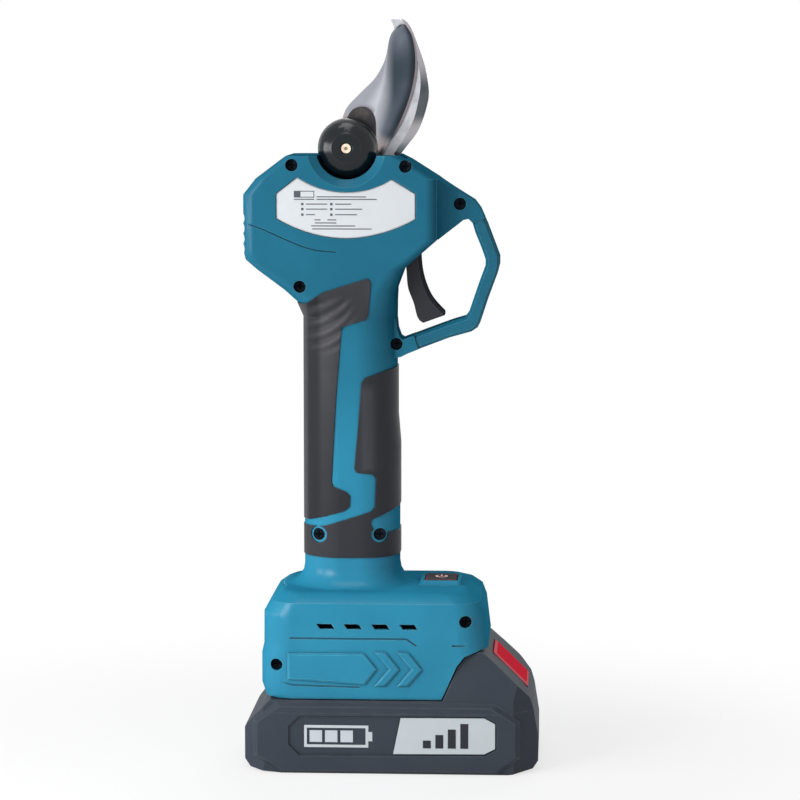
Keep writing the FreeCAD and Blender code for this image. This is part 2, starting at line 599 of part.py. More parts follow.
BLADE_SCREW_X = 15.0
BLADE_SCREW_DZ = -8.7
BLADE_SCREW_R = 1.6


def blade_screw_blanks():
    """Countersunk screws through the tang of the counter blade, without their sockets."""
    front = CUT_GAP / 2
    screws = []
    for x in (-BLADE_SCREW_X, BLADE_SCREW_X):
        head = Part.makeCone(BLADE_SCREW_R + 0.8, BLADE_SCREW_R, 1.6, V(x, front, PIVOT_Z + BLADE_SCREW_DZ), V(0, 1, 0))
        shank = rod((x, front + 1.6, PIVOT_Z + BLADE_SCREW_DZ), (0, 1, 0), BLADE_THICK + FRAME_THICK - 2.2,
                    BLADE_SCREW_R)
        screws.append(head.fuse(shank))
    return Part.makeCompound(screws)


def blade_screws():
    """Two screws that hold the tang of the counter blade to the drive frame."""
    screws = blade_screw_blanks()
    for x in (-BLADE_SCREW_X, BLADE_SCREW_X):
        screws = screws.cut(rod((x, CUT_GAP / 2, PIVOT_Z + BLADE_SCREW_DZ), (0, 1, 0), 0.9, 1.0))
    return screws


def moving_blade():
    """Curved cutting blade: a flat spine, and a hollow-ground face that thins to the cutting edge."""
    back, front = -CUT_GAP / 2, -CUT_GAP / 2 - BLADE_THICK
    spine = above_pivot([(-3.0, 10.2), (-0.9, 15.9), (4.9, 22.1), (10.6, 27.9), (14.2, 34.3), (15.6, 39.5)])
    ridge = above_pivot([(9.6, -2.0), (10.2, 4.5), (9.6, 10.5), (10.6, 15.4), (13.2, 20.6), (14.8, 26.4),
                         (15.3, 31.5), (15.5, 35.8), (15.8, 40.7), (17.1, 45.2), (19.5, 48.6)])
    edge = above_pivot([(11.4, -3.0), (15.4, 1.4), (19.5, 7.0), (22.2, 12.4), (24.6, 18.6), (26.2, 24.4),
                        (27.2, 30.2), (27.5, 34.6), (27.0, 40.0), (25.9, 45.0), (23.7, 49.8)])
    sections = []
    for (rx, rz), (ex, ez) in zip(ridge, edge):
        mx, mz = rx + 0.55 * (ex - rx), rz + 0.55 * (ez - rz)
        hollow = front + BLADE_THICK * 0.62
        sections.append(closed([(rx, back, rz), (rx, front, rz), (mx, hollow, mz), (ex, back - 0.7, ez),
                                (ex, back, ez)]))
    ground = Part.makeLoft(sections, True, True)
    land = list(reversed(ridge[:8]))
    runs = [spine, [spine[-1], ridge[7]]] + [list(pair) for pair in zip(land, land[1:])] + [[ridge[0], spine[0]]]
    flat = smooth_slab(runs, front, back)
    hub = rod((0, front, PIVOT_Z), (0, 1, 0), BLADE_THICK, HUB_R)
    bore = rod((0, front - 1, PIVOT_Z), (0, 1, 0), BLADE_THICK + 2, BUSH_R)
    return fuse([flat, ground, hub]).cut(bore).cut(drive_pin())


PIN_X, PIN_DZ = 4.0, 12.0


def drive_pin():
    """Pin that locks the blade to its drive plate."""
    return rod((PIN_X, -HUB_FRONT - 0.2 - CUT_GAP / 2, PIVOT_Z + PIN_DZ - 2.6), (0, 1, 0),
               PLATE_THICK + BLADE_THICK + 0.1, DRIVE_PIN_R)


def blade_bush():
    """Bronze sleeve in the blade and its drive plate, running on the pivot bolt."""
    return ring((0, -HUB_FRONT - CUT_GAP / 2, PIVOT_Z), (0, 1, 0), PLATE_THICK + BLADE_THICK + CUT_GAP / 2,
                BUSH_R, BOLT_R + RUNNING_FIT)


# ---- Bevel drive ----
PINION_R = BEVEL_MODULE * PINION_TEETH / 2
SECTOR_R = BEVEL_MODULE * SECTOR_TEETH / 2
SECTOR_FROM, SECTOR_TO = 203.0, 283.0


def bevel_teeth(axis_unit, radial_at, distance, reach, radius, teeth, indices, phase, thickness):
    """Straight bevel teeth, each a ruled taper towards the apex on the pivot axis.

    axis_unit is the gear's axis, from the apex to its heel. radial_at gives the radial direction at an
    angle. distance and radius are the axial distance and the pitch radius at the heel.
    """
    cone = math.hypot(distance, radius)
    apex = V(0, 0, PIVOT_Z)
    shapes = []
    for index in indices:
        angle = phase + 2 * math.pi * index / teeth
        outward = radial_at(angle)
        tangent = axis_unit.cross(outward)
        element = (axis_unit * distance + outward * radius) * (1 / cone)
        normal = (outward * distance - axis_unit * radius) * (1 / cone)
        wires = []
        for share in (1.0, BEVEL_TOE):
            corners = []
            for height, half in ((-reach[0], thickness[0]), (reach[1], thickness[1])):
                corners.append((height, -half))
                corners.append((height, half))
            order = [corners[0], corners[2], corners[3], corners[1]]
            points = [apex + (element * cone + normal * h + tangent * t) * share for h, t in order]
            wires.append(Part.makePolygon(points + points[:1]))
        shapes.append(Part.makeLoft(wires, True, True))
    return shapes


TOOTH_REACH = (1.15, 0.75)      # dedendum overlap and addendum at the heel
TOOTH_HALF = (1.0, 0.36)        # half thickness at root and tip


def bevel_pinion():
    """Pinion, its shaft and the bolted planet carrier hub below it."""
    distance, radius = SECTOR_R, PINION_R
    down = V(0, 0, -1)
    teeth = bevel_teeth(down, lambda a: V(math.cos(a), math.sin(a), 0), distance, TOOTH_REACH, radius,
                        PINION_TEETH, range(PINION_TEETH), math.radians(-90) + math.pi / PINION_TEETH, TOOTH_HALF)
    root = radius - 0.93
    heel, toe = distance + 0.3, (distance + 0.3) * BEVEL_TOE
    outline = [(0, toe), (root * BEVEL_TOE, toe), (root, heel), (SHAFT_R, heel + 0.7), (0, heel + 0.7)]
    body = Part.Face(closed([(r, 0, PIVOT_Z - d) for r, d in outline])).revolve(
        V(0, 0, 0), V(0, 0, 1), 360)
    shaft = rod((0, 0, CARRIER_Z1), (0, 0, 1), PIVOT_Z - heel - CARRIER_Z1, SHAFT_R)
    return fuse([body, shaft] + teeth)


CARRIER_Z0 = RING_Z0 + GEAR_FACE + 1.2
CARRIER_Z1 = CARRIER_Z0 + 3.4


def drive_gear():
    """Toothed sector and arm in one plate, fixed to the moving blade."""
    distance, radius = PINION_R, SECTOR_R
    front = V(0, -1, 0)
    teeth_from = math.ceil(SECTOR_FROM / 10 + 0.6)
    indices = range(teeth_from, int(SECTOR_TO / 10) + 1)
    teeth = bevel_teeth(front, lambda a: V(math.cos(a), 0, math.sin(a)), distance, TOOTH_REACH, radius,
                        SECTOR_TEETH, [i for i in indices], 0.0, TOOTH_HALF)
    y_front = HUB_FRONT + CUT_GAP / 2
    rim = radius - 0.3
    outline = [(HUB_R - 2, distance * BEVEL_TOE + 0.75), (rim * BEVEL_TOE - 0.1, distance * BEVEL_TOE + 0.72),
               (rim, distance + 0.95), (rim - 0.4, y_front), (HUB_R - 2, y_front)]
    sector = Part.Face(closed([(r, -y, PIVOT_Z) for r, y in outline])).revolve(
        V(0, 0, PIVOT_Z), V(0, -1, 0), SECTOR_TO - SECTOR_FROM)
    sector.rotate(V(0, 0, PIVOT_Z), V(0, -1, 0), SECTOR_FROM)
    y_back = CUT_GAP / 2 + BLADE_THICK
    hub = rod((0, -y_front, PIVOT_Z), (0, 1, 0), PLATE_THICK, HUB_R)
    tab = smooth_slab([above_pivot([(-5, 9), (-0.8, 11.4), (0.8, 14.2), (3.7, 16.2), (6.1, 16.4), (8.9, 15.0),
                                    (10.4, 12.6), (11.0, 9.0), (11.3, 3.0)]), above_pivot([(11.3, 3.0), (0, 0)]),
                       above_pivot([(0, 0), (-5, 9)])], -y_front, -y_back)
    bore = rod((0, -30, PIVOT_Z), (0, 1, 0), 30, BUSH_R)
    return fuse([hub, tab, sector] + teeth).cut(bore).cut(drive_pin())


# ---- Pivot stack ----
def pivot_bolt():
    """Shouldered bolt through both blades and the frame."""
    head_back = HUB_FRONT + CUT_GAP / 2 + 0.15
    head = rod((0, -head_back - BOLT_HEAD, PIVOT_Z), (0, 1, 0), BOLT_HEAD, BOLT_HEAD_R)
    end = CUT_GAP / 2 + BLADE_THICK + FRAME_THICK + NUT_THICK + 1
    shank = rod((0, -head_back, PIVOT_Z), (0, 1, 0), head_back + end, BOLT_R)
    return head.fuse(shank).cut(cap_screw())


def pivot_nut():
    """Lock nut behind the frame."""
    y = CUT_GAP / 2 + BLADE_THICK + FRAME_THICK
    points = [(NUT_R * math.cos(math.radians(60 * i)), PIVOT_Z + NUT_R * math.sin(math.radians(60 * i)))
              for i in range(6)]
    return slab_y(points, y, y + NUT_THICK).cut(rod((0, 0, PIVOT_Z), (0, 1, 0), 40, BOLT_R))


def pivot_cap():
    """Truncated dome over the bolt head."""
    back = HUB_FRONT + CUT_GAP / 2 + 0.15 + SLACK
    side = [(0, -CAP_FRONT), (CAP_FACE_R - 0.4, -CAP_FRONT), (CAP_FACE_R, -CAP_FRONT + 0.3), (8.9, -CAP_FRONT + 1.7),
            (10.7, -CAP_FRONT + 3.6), (11.7, -CAP_FRONT + 6.0), (CAP_R, -CAP_FRONT + 8.8), (CAP_R, -back), (0, -back)]
    dome = Part.Face(closed([(r, y, PIVOT_Z) for r, y in side])).revolve(V(0, 0, PIVOT_Z), V(0, 1, 0), 360)
    room = rod((0, -back - BOLT_HEAD + SLACK, PIVOT_Z), (0, 1, 0), BOLT_HEAD + 1, BOLT_HEAD_R)
    well = rod((0, -CAP_FRONT - 1, PIVOT_Z), (0, 1, 0), 1.8, 2.5)
    return dome.cut(room).cut(well).cut(cap_screw())


def cap_screw():
    """Brass screw that holds the cap to the bolt."""
    head = rod((0, -CAP_FRONT + 0.1, PIVOT_Z), (0, 1, 0), 1.4, 1.9)
    shank = rod((0, -CAP_FRONT + 1.5, PIVOT_Z), (0, 1, 0), CAP_FRONT - 11.0, 1.1)
    return head.fuse(shank).cut(rod((0, -CAP_FRONT, PIVOT_Z), (0, 1, 0), 0.8, 0.7))


def head_frame():
    """Aluminium frame: a bearing barrel on the gearbox and a back plate that carries the blades."""
    top = FRAME_TOP
    y0, y1 = CUT_GAP / 2 + BLADE_THICK, CUT_GAP / 2 + BLADE_THICK + FRAME_THICK
    barrel = rod((0, 0, COVER_Z1), (0, 0, 1), top - COVER_Z1, GEAR_R - 1)
    foot = rod((0, 0, COVER_Z1), (0, 0, 1), 9, GEAR_R)
    plate = slab_y(above_pivot([(-13.5, top - PIVOT_Z - 8), (-19.8, -13), (-19.8, -6), (19.8, -6), (19.8, -13),
                                (13.5, top - PIVOT_Z - 8)]), y0, y1)
    ear = rod((0, y0, PIVOT_Z), (0, 1, 0), FRAME_THICK, HUB_R)
    frame = fuse([barrel, foot, plate, ear])
    swing = rod((0, 0, top), (0, 0, 1), PIVOT_Z - 11 - top, PINION_R + 1.7)
    bore = rod((0, 0, COVER_Z1 - 1), (0, 0, 1), top - COVER_Z1 + 2, SHAFT_R + 1.5)
    seat = rod((0, 0, top - BEARING_H), (0, 0, 1), BEARING_H + 1, PINION_BEARING_R)
    return frame.cut(swing).cut(bore).cut(seat).cut(rod((0, 0, PIVOT_Z), (0, 1, 0), 30, BOLT_R)).cut(blade_screw_blanks())


BEARING_H = 6.0
PINION_BEARING_R = 9.5
FRAME_TOP = PIVOT_Z - BEVEL_MODULE * SECTOR_TEETH / 2 - 1.3


def pinion_bearing():
    """Needle bearing round the pinion shaft."""
    return ring((0, 0, FRAME_TOP - BEARING_H), (0, 0, 1), BEARING_H, PINION_BEARING_R, SHAFT_R + RUNNING_FIT)


# ---- Planetary stage ----
PRESSURE = math.radians(25)
ADDENDUM, DEDENDUM = 0.8, 1.1
SUN_R = PLANET_MODULE * SUN_TEETH / 2
PLANET_R = PLANET_MODULE * PLANET_TEETH / 2
RING_R = PLANET_MODULE * RING_TEETH / 2
ORBIT_R = SUN_R + PLANET_R
BACKLASH = 0.12
PLANET_START = math.radians(90)


def involute(angle):
    """Involute function."""
    return math.tan(angle) - angle


def gear_outline(teeth, add, ded, backlash, phase, centre=(0.0, 0.0)):
    """Points of an involute gear's outline, with a tooth centred on the phase angle."""
    pitch = PLANET_MODULE * teeth / 2
    base = pitch * math.cos(PRESSURE)
    half = (math.pi * PLANET_MODULE / 2 - backlash) / (2 * pitch)
    radii = [pitch - ded * PLANET_MODULE, pitch, pitch + add * PLANET_MODULE]
    flank = []
    for radius in radii:
        pressure = math.acos(min(1.0, base / radius))
        flank.append((radius, half + involute(PRESSURE) - involute(pressure)))
    points = []
    for tooth in range(teeth):
        middle = phase + 2 * math.pi * tooth / teeth
        angles = [(r, middle - a) for r, a in flank] + [(r, middle + a) for r, a in reversed(flank)]
        points += [(centre[0] + r * math.cos(a), centre[1] + r * math.sin(a)) for r, a in angles]
    return points


def sun_gear():
    """Sun gear on the motor shaft."""
    body = slab_z(gear_outline(SUN_TEETH, ADDENDUM, DEDENDUM, BACKLASH, 0.0), RING_Z0 + 1, RING_Z0 + 1 + GEAR_FACE)
    return body.cut(rod((0, 0, RING_Z0), (0, 0, 1), 20, MOTOR_SHAFT_R))


def planet_place(index):
    """Orbit angle, centre and tooth phase of a planet that meshes with the sun at rest."""
    orbit = PLANET_START + 2 * math.pi * index / PLANET_COUNT
    phase = orbit + math.pi - math.pi / PLANET_TEETH + orbit * SUN_TEETH / PLANET_TEETH
    return orbit, (ORBIT_R * math.cos(orbit), ORBIT_R * math.sin(orbit)), phase


def planet_gear(index):
    """One planet, running on its carrier pin."""
    _, centre, phase = planet_place(index)
    body = slab_z(gear_outline(PLANET_TEETH, ADDENDUM, DEDENDUM, BACKLASH, phase, centre), RING_Z0 + 1,
                  RING_Z0 + 1 + GEAR_FACE)
    return body.cut(rod((centre[0], centre[1], RING_Z0), (0, 0, 1), 20, CARRIER_PIN_R + RUNNING_FIT))


def ring_gear():
    """Internal gear and gearbox case in one."""
    turns = (PLANET_START * (SUN_TEETH + RING_TEETH) / (2 * math.pi) - 0.5) / RING_TEETH
    teeth = slab_z(gear_outline(RING_TEETH, 1.1, 0.75, -BACKLASH, 2 * math.pi * turns), RING_Z0 - 1,
                   RING_Z0 + GEAR_FACE + 1.1)
    room = rod((0, 0, RING_Z0 + GEAR_FACE + 1), (0, 0, 1), 20, RING_R + 1.1 * PLANET_MODULE)
    return rod((0, 0, RING_Z0), (0, 0, 1), RING_Z1 - RING_Z0, GEAR_R).cut(teeth).cut(room)


def planet_carrier():
    """Disc with the planet pins, fixed to the pinion shaft."""
    disc = rod((0, 0, CARRIER_Z0), (0, 0, 1), CARRIER_Z1 - CARRIER_Z0, RING_R - 0.8)
    pins = [rod((c[0], c[1], RING_Z0 + 1), (0, 0, 1), CARRIER_Z0 - RING_Z0 - 1, CARRIER_PIN_R)
            for _, c, _ in (planet_place(i) for i in range(PLANET_COUNT))]
    return fuse([disc] + pins)


def gearbox_cover():
    """Plate that closes the gearbox above the carrier."""
    return ring((0, 0, RING_Z1), (0, 0, 1), COVER_Z1 - RING_Z1, GEAR_R, SHAFT_R + 1.0)


# ---- Motor ----
def motor_can():
    """Steel can with a front plate that bolts to the gearbox."""
    can = ring((0, 0, MOTOR_Z0 + 3), (0, 0, 1), MOTOR_LENGTH - 3, MOTOR_R, MOTOR_R - CAN_WALL)
    plate = ring((0, 0, MOTOR_Z1 - 3), (0, 0, 1), 3, MOTOR_R - CAN_WALL, BEARING_R)
    flange = ring((0, 0, MOTOR_Z1), (0, 0, 1), RING_Z0 - MOTOR_Z1, GEAR_R, BEARING_R)
    return fuse([can, plate, flange])


def motor_end_cap():
    """Rear cover of the motor, with the rear bearing seat."""
    return ring((0, 0, MOTOR_Z0), (0, 0, 1), 3, MOTOR_R, BEARING_R)


def motor_bearings():
    """Bearings at both ends of the rotor shaft."""
    return Part.makeCompound([ring((0, 0, z), (0, 0, 1), 3, BEARING_R, MOTOR_SHAFT_R + RUNNING_FIT)
                              for z in (MOTOR_Z0, MOTOR_Z1 - 3)])


STACK_Z0, STACK_Z1 = MOTOR_Z0 + 11, MOTOR_Z1 - 11
SLOTS = 6


def motor_stator():
    """Laminated stator: a yoke with inward teeth."""
    bore = ROTOR_R + AIR_GAP
    yoke_r = MOTOR_R - CAN_WALL
    yoke = ring((0, 0, STACK_Z0), (0, 0, 1), STACK_Z1 - STACK_Z0, yoke_r, yoke_r - 1.4)
    teeth = []
    for slot in range(SLOTS):
        tooth = box(bore - 1, yoke_r - 0.7, -1.7, 1.7, STACK_Z0, STACK_Z1)
        tooth.rotate(V(0, 0, 0), V(0, 0, 1), 360 / SLOTS * slot)
        teeth.append(tooth)
    return fuse([yoke] + teeth).cut(rod((0, 0, STACK_Z0 - 1), (0, 0, 1), STACK_Z1 - STACK_Z0 + 2, bore))


def motor_coils():
    """Copper windings in the slots, with their end turns."""
    inner, outer = ROTOR_R + AIR_GAP + 0.3, MOTOR_R - CAN_WALL - 1.4
    winding = ring((0, 0, STACK_Z0 - 4), (0, 0, 1), STACK_Z1 - STACK_Z0 + 8, outer, inner)
    for slot in range(SLOTS):
        gap = box(0, MOTOR_R, -1.7, 1.7, STACK_Z0 - 5, STACK_Z1 + 5)
        gap.rotate(V(0, 0, 0), V(0, 0, 1), 360 / SLOTS * slot)
        winding = winding.cut(gap)
    return winding


def motor_shaft():
    """Rotor shaft, up into the sun gear."""
    return rod((0, 0, MOTOR_Z0 - 1), (0, 0, 1), RING_Z0 + 1 + GEAR_FACE - MOTOR_Z0 + 1, MOTOR_SHAFT_R)


def rotor():
    """Magnet rotor on the shaft."""
    return ring((0, 0, STACK_Z0), (0, 0, 1), STACK_Z1 - STACK_Z0, ROTOR_R, MOTOR_SHAFT_R)


# ---- Trigger ----
def trigger():
    """Curved finger lever with its hub and a short arm that works the switch."""
    half = TRIGGER_W / 2
    front = [(25.2, -31.2), (28.2, -36.0), (29.0, -42.3), (29.3, -47.2), (30.6, -53.7), (31.8, -57.0), (33.4, -60.2),
             (35.9, -63.4), (38.7, -66.3)]
    back = [(30.2, -70.7), (29.2, -70.2), (26.5, -63.5), (24.1, -57.0), (23.2, -48.5), (21.6, -42.0), (19.8, -37.0)]
    runs = [above_pivot(run) for run in
            (front, [front[-1], (38.8, -67.6)], [(38.8, -67.6), back[0]], back, [back[-1], front[0]])]
    lever = smooth_slab(runs, -half, half)
    rims = [edge for edge in lever.Edges if abs(abs(edge.CenterOfMass.y) - half) < 0.01 and edge.Length > 20
            and edge.CenterOfMass.x > 29]
    lever = lever.makeChamfer(1.2, rims)
    hub = rod((TRIGGER_X, -half, TRIGGER_Z), (0, 1, 0), TRIGGER_W, TRIGGER_HUB_R)
    arm_up = slab_y(above_pivot([(21.6, -36), (21.6, -26), (25.2, -25.4), (25.6, -36)]), -2.5, 2.5)
    bore = rod((TRIGGER_X, -half - 1, TRIGGER_Z), (0, 1, 0), TRIGGER_W + 2, TRIGGER_PIN_R + RUNNING_FIT)
    return fuse([lever, hub, arm_up]).cut(bore)


def trigger_pin():
    """Pin across the head that the trigger turns on."""
    reach = TRIGGER_W / 2 + 8
    return rod((TRIGGER_X, -reach, TRIGGER_Z), (0, 1, 0), 2 * reach, TRIGGER_PIN_R)


def trigger_spring():
    """Torsion spring round the pin boss, as its coiled envelope with two legs."""
    y = TRIGGER_W / 2 + SLACK + 0.6
    coil = ring((TRIGGER_X, y, TRIGGER_Z), (0, 1, 0), 3.2, 4.5, 3.6)
    leg = rod((TRIGGER_X + 4.0, y + 2.9, TRIGGER_Z), (0, 0, 1), 9, 0.35)
    return coil.fuse(leg)


def trigger_switch():
    """Snap-action switch beside the trigger's arm."""
    x1 = 36.0 - WALL
    body = box(28.4, x1, -3.2, 3.2, PIVOT_Z - 33, PIVOT_Z - 21)
    return body.fuse(rod((27.6, 0, PIVOT_Z - 27.5), (1, 0, 0), 1.0, 1.0))


# ---- Electronics in the foot ----
def controller_board():
    """Motor controller board on its four posts."""
    plan = [(-22.5, -24), (46, -24), (46, 24), (-22.5, 24)]
    return slab_z(plan, BOARD_Z, BOARD_Z + 1.6)


def board_parts():
    """Capacitors, power transistors and their heat sink."""
    top = BOARD_Z + 1.6
    parts = [rod((x, 15, top), (0, 0, 1), 10, 4) for x in (-16, -6)]
    parts += [box(x, x + 5, -18, -12, top, top + 1.6) for x in (-18, -10, -2, 6, 14, 22)]
    parts.append(box(-4, 8, -6, 6, top, top + 1.4))
    sink = box(4, 26, 8, 20, top, top + 2)
    fins = [box(x, x + 1.4, 8, 20, top + 2, top + 8) for x in (4, 8.1, 12.3, 16.4, 20.5, 24.6)]
    parts.append(fuse([sink] + fins))
    return Part.makeCompound(parts)


def power_switch():
    """Push switch in its collar under the power button."""
    x0, x1, half = BUTTON_X - SWITCH_LX / 2, BUTTON_X + SWITCH_LX / 2, SWITCH_LY / 2
    body = box(x0, x1, -half, half, SWITCH_TOP - SWITCH_H, SWITCH_TOP)
    return body.fuse(rod((BUTTON_X, 0, SWITCH_TOP), (0, 0, 1), 0.8, 1.4))


def power_button():
    """Rectangular push button with its stem."""
    top = FOOT_TOP_Z + BOSS_RISE + 0.3
    lx, ly = BUTTON_LX / 2, BUTTON_LY / 2
    plate = Part.makeLoft([section(FOOT_TOP_Z - 1.4, BUTTON_X - lx, BUTTON_X + lx, ly, 1.2),
                           section(top - 0.5, BUTTON_X - lx, BUTTON_X + lx, ly, 1.2),
                           section(top, BUTTON_X - lx + 0.5, BUTTON_X + lx - 0.5, ly - 0.5, 1.0)], True, True)
    stem_z = SWITCH_TOP + 0.8 + BUTTON_TRAVEL + 0.4
    return plate.fuse(rod((BUTTON_X, 0, stem_z), (0, 0, 1), FOOT_TOP_Z - 1.4 - stem_z, 1.8))


def terminal_block():
    """Terminal carrier on the floor of the foot, above the rail channel."""
    block = box(-22.8, -7, -14, 14, FLOOR_Z, FLOOR_Z + 3)
    return block.cut(terminal_blades())


BLADE_YS = (-10.0, -3.5, 3.5, 10.0)


def terminal_blades():
    """Flat contact blades that reach down into the pack's slots."""
    blades = [box(-22, -10, y - 0.4, y + 0.4, SEAT_Z + 3.0, FLOOR_Z + 4) for y in BLADE_YS]
    return Part.makeCompound(blades)


def wire(points, radius):
    """Insulated lead along straight runs with round joints."""
    pieces = []
    for start, end in zip(points, points[1:]):
        run = V(*end) - V(*start)
        pieces.append(Part.makeCylinder(radius, run.Length, V(*start), run))
        pieces.append(Part.makeSphere(radius, V(*end)))
    return fuse(pieces[:-1])


def motor_leads():
    """Three phase leads from the controller board up to the motor."""
    top = BOARD_Z + 1.6
    leads = []
    for x in (-3, 0, 3):
        leads.append(wire([(2 * x, -9, top), (2 * x, -9, COLLAR_Z), (x, -9, COLLAR_Z + 20), (x, -9, MOTOR_Z0)], 1.2))
    return Part.makeCompound(leads)


# ---- Battery pack ----
PACK_SIDE = [(-41, 4), (-38.5, 1.2), (-25, 0), (65.5, 0), (75.5, 1.2), (77.6, 4), (77.6, 14), (75.6, 26),
             (74.2, 30.4), (70.5, 34.8), (63.3, 41.8), (57.2, 47.4), (50, 52), (20, 52), (20, PACK_TOP),
             (-30.2, PACK_TOP), (-32.7, 27.2), (-36.8, 22.7), (-40.3, 18.3), (-41, 17)]
PACK_PLAN = [(-41, -27.5), (-33, -PACK_DEPTH), (67.5, -PACK_DEPTH), (77.6, -26), (77.6, 26), (67.5, PACK_DEPTH),
             (-33, PACK_DEPTH), (-41, 27.5)]
PLATEAU = [(-37, 7), (-37, 21.5), (-27.5, 28.8), (60, 28.8), (70.3, 22), (70.3, 7), (62, 0), (-26, 0)]
BADGE = [(-22.5, 12), (-22.5, 19.5), (-18, 23.8), (56.3, 24), (61, 21.4), (61, 10.7), (56.3, 8.2), (-18, 7.6)]
BADGE_DEPTH = 0.8
SLOPE = math.radians(44.5)
SLOPE_AT = (66.3, 39.0)         # middle of the latch on the slope, as (x, z)


def side_leans(depth):
    """Everything outside the two sides above the seat, which lean in from the given half depth."""
    return [Part.Face(closed([(-60, sign * depth, SEAT_Z), (-60, sign * 60, SEAT_Z), (-60, sign * 60, 60),
                              (-60, sign * (depth - 7), 60)])).extrude(V(160, 0, 0)) for sign in (FRONT, REAR)]


def pack_outer():
    """Solid outside form of the pack, without its rail."""
    side = slab_y(PACK_SIDE, -60, 60)
    body = side.common(slab_z(PACK_PLAN, -1, 60))
    body = body.cut(slab_y([(x, z) for x, z in seat_outline()], -80, 80))
    for lean in side_leans(PACK_DEPTH):
        body = body.cut(lean)
    for sign in (FRONT, REAR):
        face = sign * PACK_DEPTH
        wires = [closed([(x, face - sign, z) for x, z in PLATEAU]),
                 closed([(x, face, z) for x, z in PLATEAU]),
                 closed([(14 + (x - 14) * 0.965, face + sign * PLATEAU_RISE, 14.4 + (z - 14.4) * 0.9)
                         for x, z in PLATEAU])]
        body = body.fuse(Part.makeLoft(wires, True, True))
    return body


def seat_outline():
    """Room that the foot takes out of the pack, along its slanted seam."""
    gap = PACK_GAP + 0.1
    return [(19, 60), (19, PACK_TOP), (38.8 + gap, PACK_TOP), (44.8 + gap, SEAT_Z + 13.6 - gap),
            (48.0 + gap, SEAT_Z + 17.6 - gap), (54.4 + gap, SEAT_Z + 19.8 - gap), (58, SEAT_Z + 21), (58, 60)]


def rail():
    """T-shaped tongue on the pack with the slots for the tool's contact blades."""
    top = SEAT_Z + RAIL_TOP - PACK_GAP
    lip = SEAT_Z + RAIL_LIP + PACK_GAP
    tongue = box(RAIL_X0, RAIL_X1, -RAIL_STEM, RAIL_STEM, PACK_TOP - 1, lip).fuse(
        box(RAIL_X0, RAIL_X1, -RAIL_HEAD, RAIL_HEAD, lip, top))
    for y in BLADE_YS:
        tongue = tongue.cut(box(RAIL_X0 - 1, -6, y - 1.2, y + 1.2, SEAT_Z + 1.5, top + 1))
    return tongue.cut(seat_seam(3.0))


def slope_block(length, half, low, high):
    """Block lying on the latch slope: along the slope, across Y, and between two heights over it."""
    return on_slope(box(-length / 2, length / 2, -half, half, low, high))


def on_slope(shape):
    """Shape made at the origin, laid on the latch slope with +Z along its outward normal."""
    shape.rotate(V(0, 0, 0), V(0, 1, 0), math.degrees(SLOPE))
    shape.translate(V(SLOPE_AT[0], 0, SLOPE_AT[1]))
    return shape


LATCH_LENGTH = 19.5
LATCH_PLATE = 4.5
SPRING_FOOT = -11.7             # seat of the latch springs, measured from the slope
SPRING_R = 2.4
SPRING_YS = (-8.0, 8.0)


def pack_room():
    """Hollow inside of the pack."""
    inner = [(-38, 6), (-36, PACK_WALL), (74, PACK_WALL), (75.2, 6), (75.2, 13), (72, 27), (60.5, 38.5), (53, 40.5),
             (48.5, 40.5), (41.5, PACK_TOP - PACK_WALL), (-29, PACK_TOP - PACK_WALL), (-38, 18)]
    depth = PACK_DEPTH - PACK_WALL
    plan = [(-39, -24), (-31, -depth), (65, -depth), (75.2, -23), (75.2, 23), (65, depth), (-31, depth), (-39, 24)]
    room = slab_y(inner, -60, 60).common(slab_z(plan, 0, 60))
    for lean in side_leans(depth):
        room = room.cut(lean)
    return room


def pack_cases():
    """Upper and lower case of the pack."""
    shell = pack_outer().cut(pack_room()).fuse(rail())
    shell = shell.cut(slope_block(LATCH_LENGTH + 1, LATCH_HALF + 0.5, -8, 10))
    shell = shell.cut(latch_nose_room())
    for sign in (FRONT, REAR):
        face = PACK_DEPTH + PLATEAU_RISE
        shell = shell.cut(slab_y(BADGE, sign * (face - BADGE_DEPTH), sign * (face + 2)))
    bosses = []
    for x, y in PACK_SCREWS:
        bosses.append(rod((x, y, PACK_WALL - 1), (0, 0, 1), 40, 3.2))
    shelf = slope_block(8, 60, SPRING_FOOT - 2.0, SPRING_FOOT).common(pack_room())
    pressed = slope_block(LATCH_LENGTH + 1, LATCH_HALF + 0.5, -LATCH_PLATE - LATCH_TRAVEL - 0.5, 10)
    shell = shell.fuse(fuse(bosses).common(pack_room()).cut(pressed)).fuse(shelf)
    for x, y in PACK_SCREWS:
        shell = shell.cut(rod((x, y, -1), (0, 0, 1), 3.5, 2.4)).cut(rod((x, y, 0), (0, 0, 1), 18, SCREW_R))
    lower = shell.common(box(-80, 90, -60, 60, -5, SPLIT_Z))
    upper = shell.common(box(-80, 90, -60, 60, SPLIT_Z, 80))
    return upper, lower


PACK_SCREWS = [(-34.2, -15), (-34.2, 15), (69.5, -15), (69.5, 15)]


def pack_screws():
    """Screws up through the lower case."""
    screws = []
    for x, y in PACK_SCREWS:
        screws.append(rod((x, y, 0.9), (0, 0, 1), 1.6, 2.2).fuse(rod((x, y, 2.5), (0, 0, 1), 14, SCREW_R)))
    return Part.makeCompound(screws)


def name_plates():
    """Bare light plates in the badge recess, front and rear."""
    outline = [(22.6, 23.2), (56.1, 23.4), (60.4, 21.1), (60.4, 11.0), (56.1, 8.8), (19.6, 8.5)]
    floor = PACK_DEPTH + PLATEAU_RISE - BADGE_DEPTH
    return Part.makeCompound([slab_y(outline, sign * floor, sign * (floor + 0.55)) for sign in (FRONT, REAR)])


def cell_x(index):
    """Centre of a cell along the pack."""
    return 18.0 + (index - (CELL_COUNT - 1) / 2) * CELL_PITCH


CELL_Z = PACK_WALL + CELL_R + 0.6


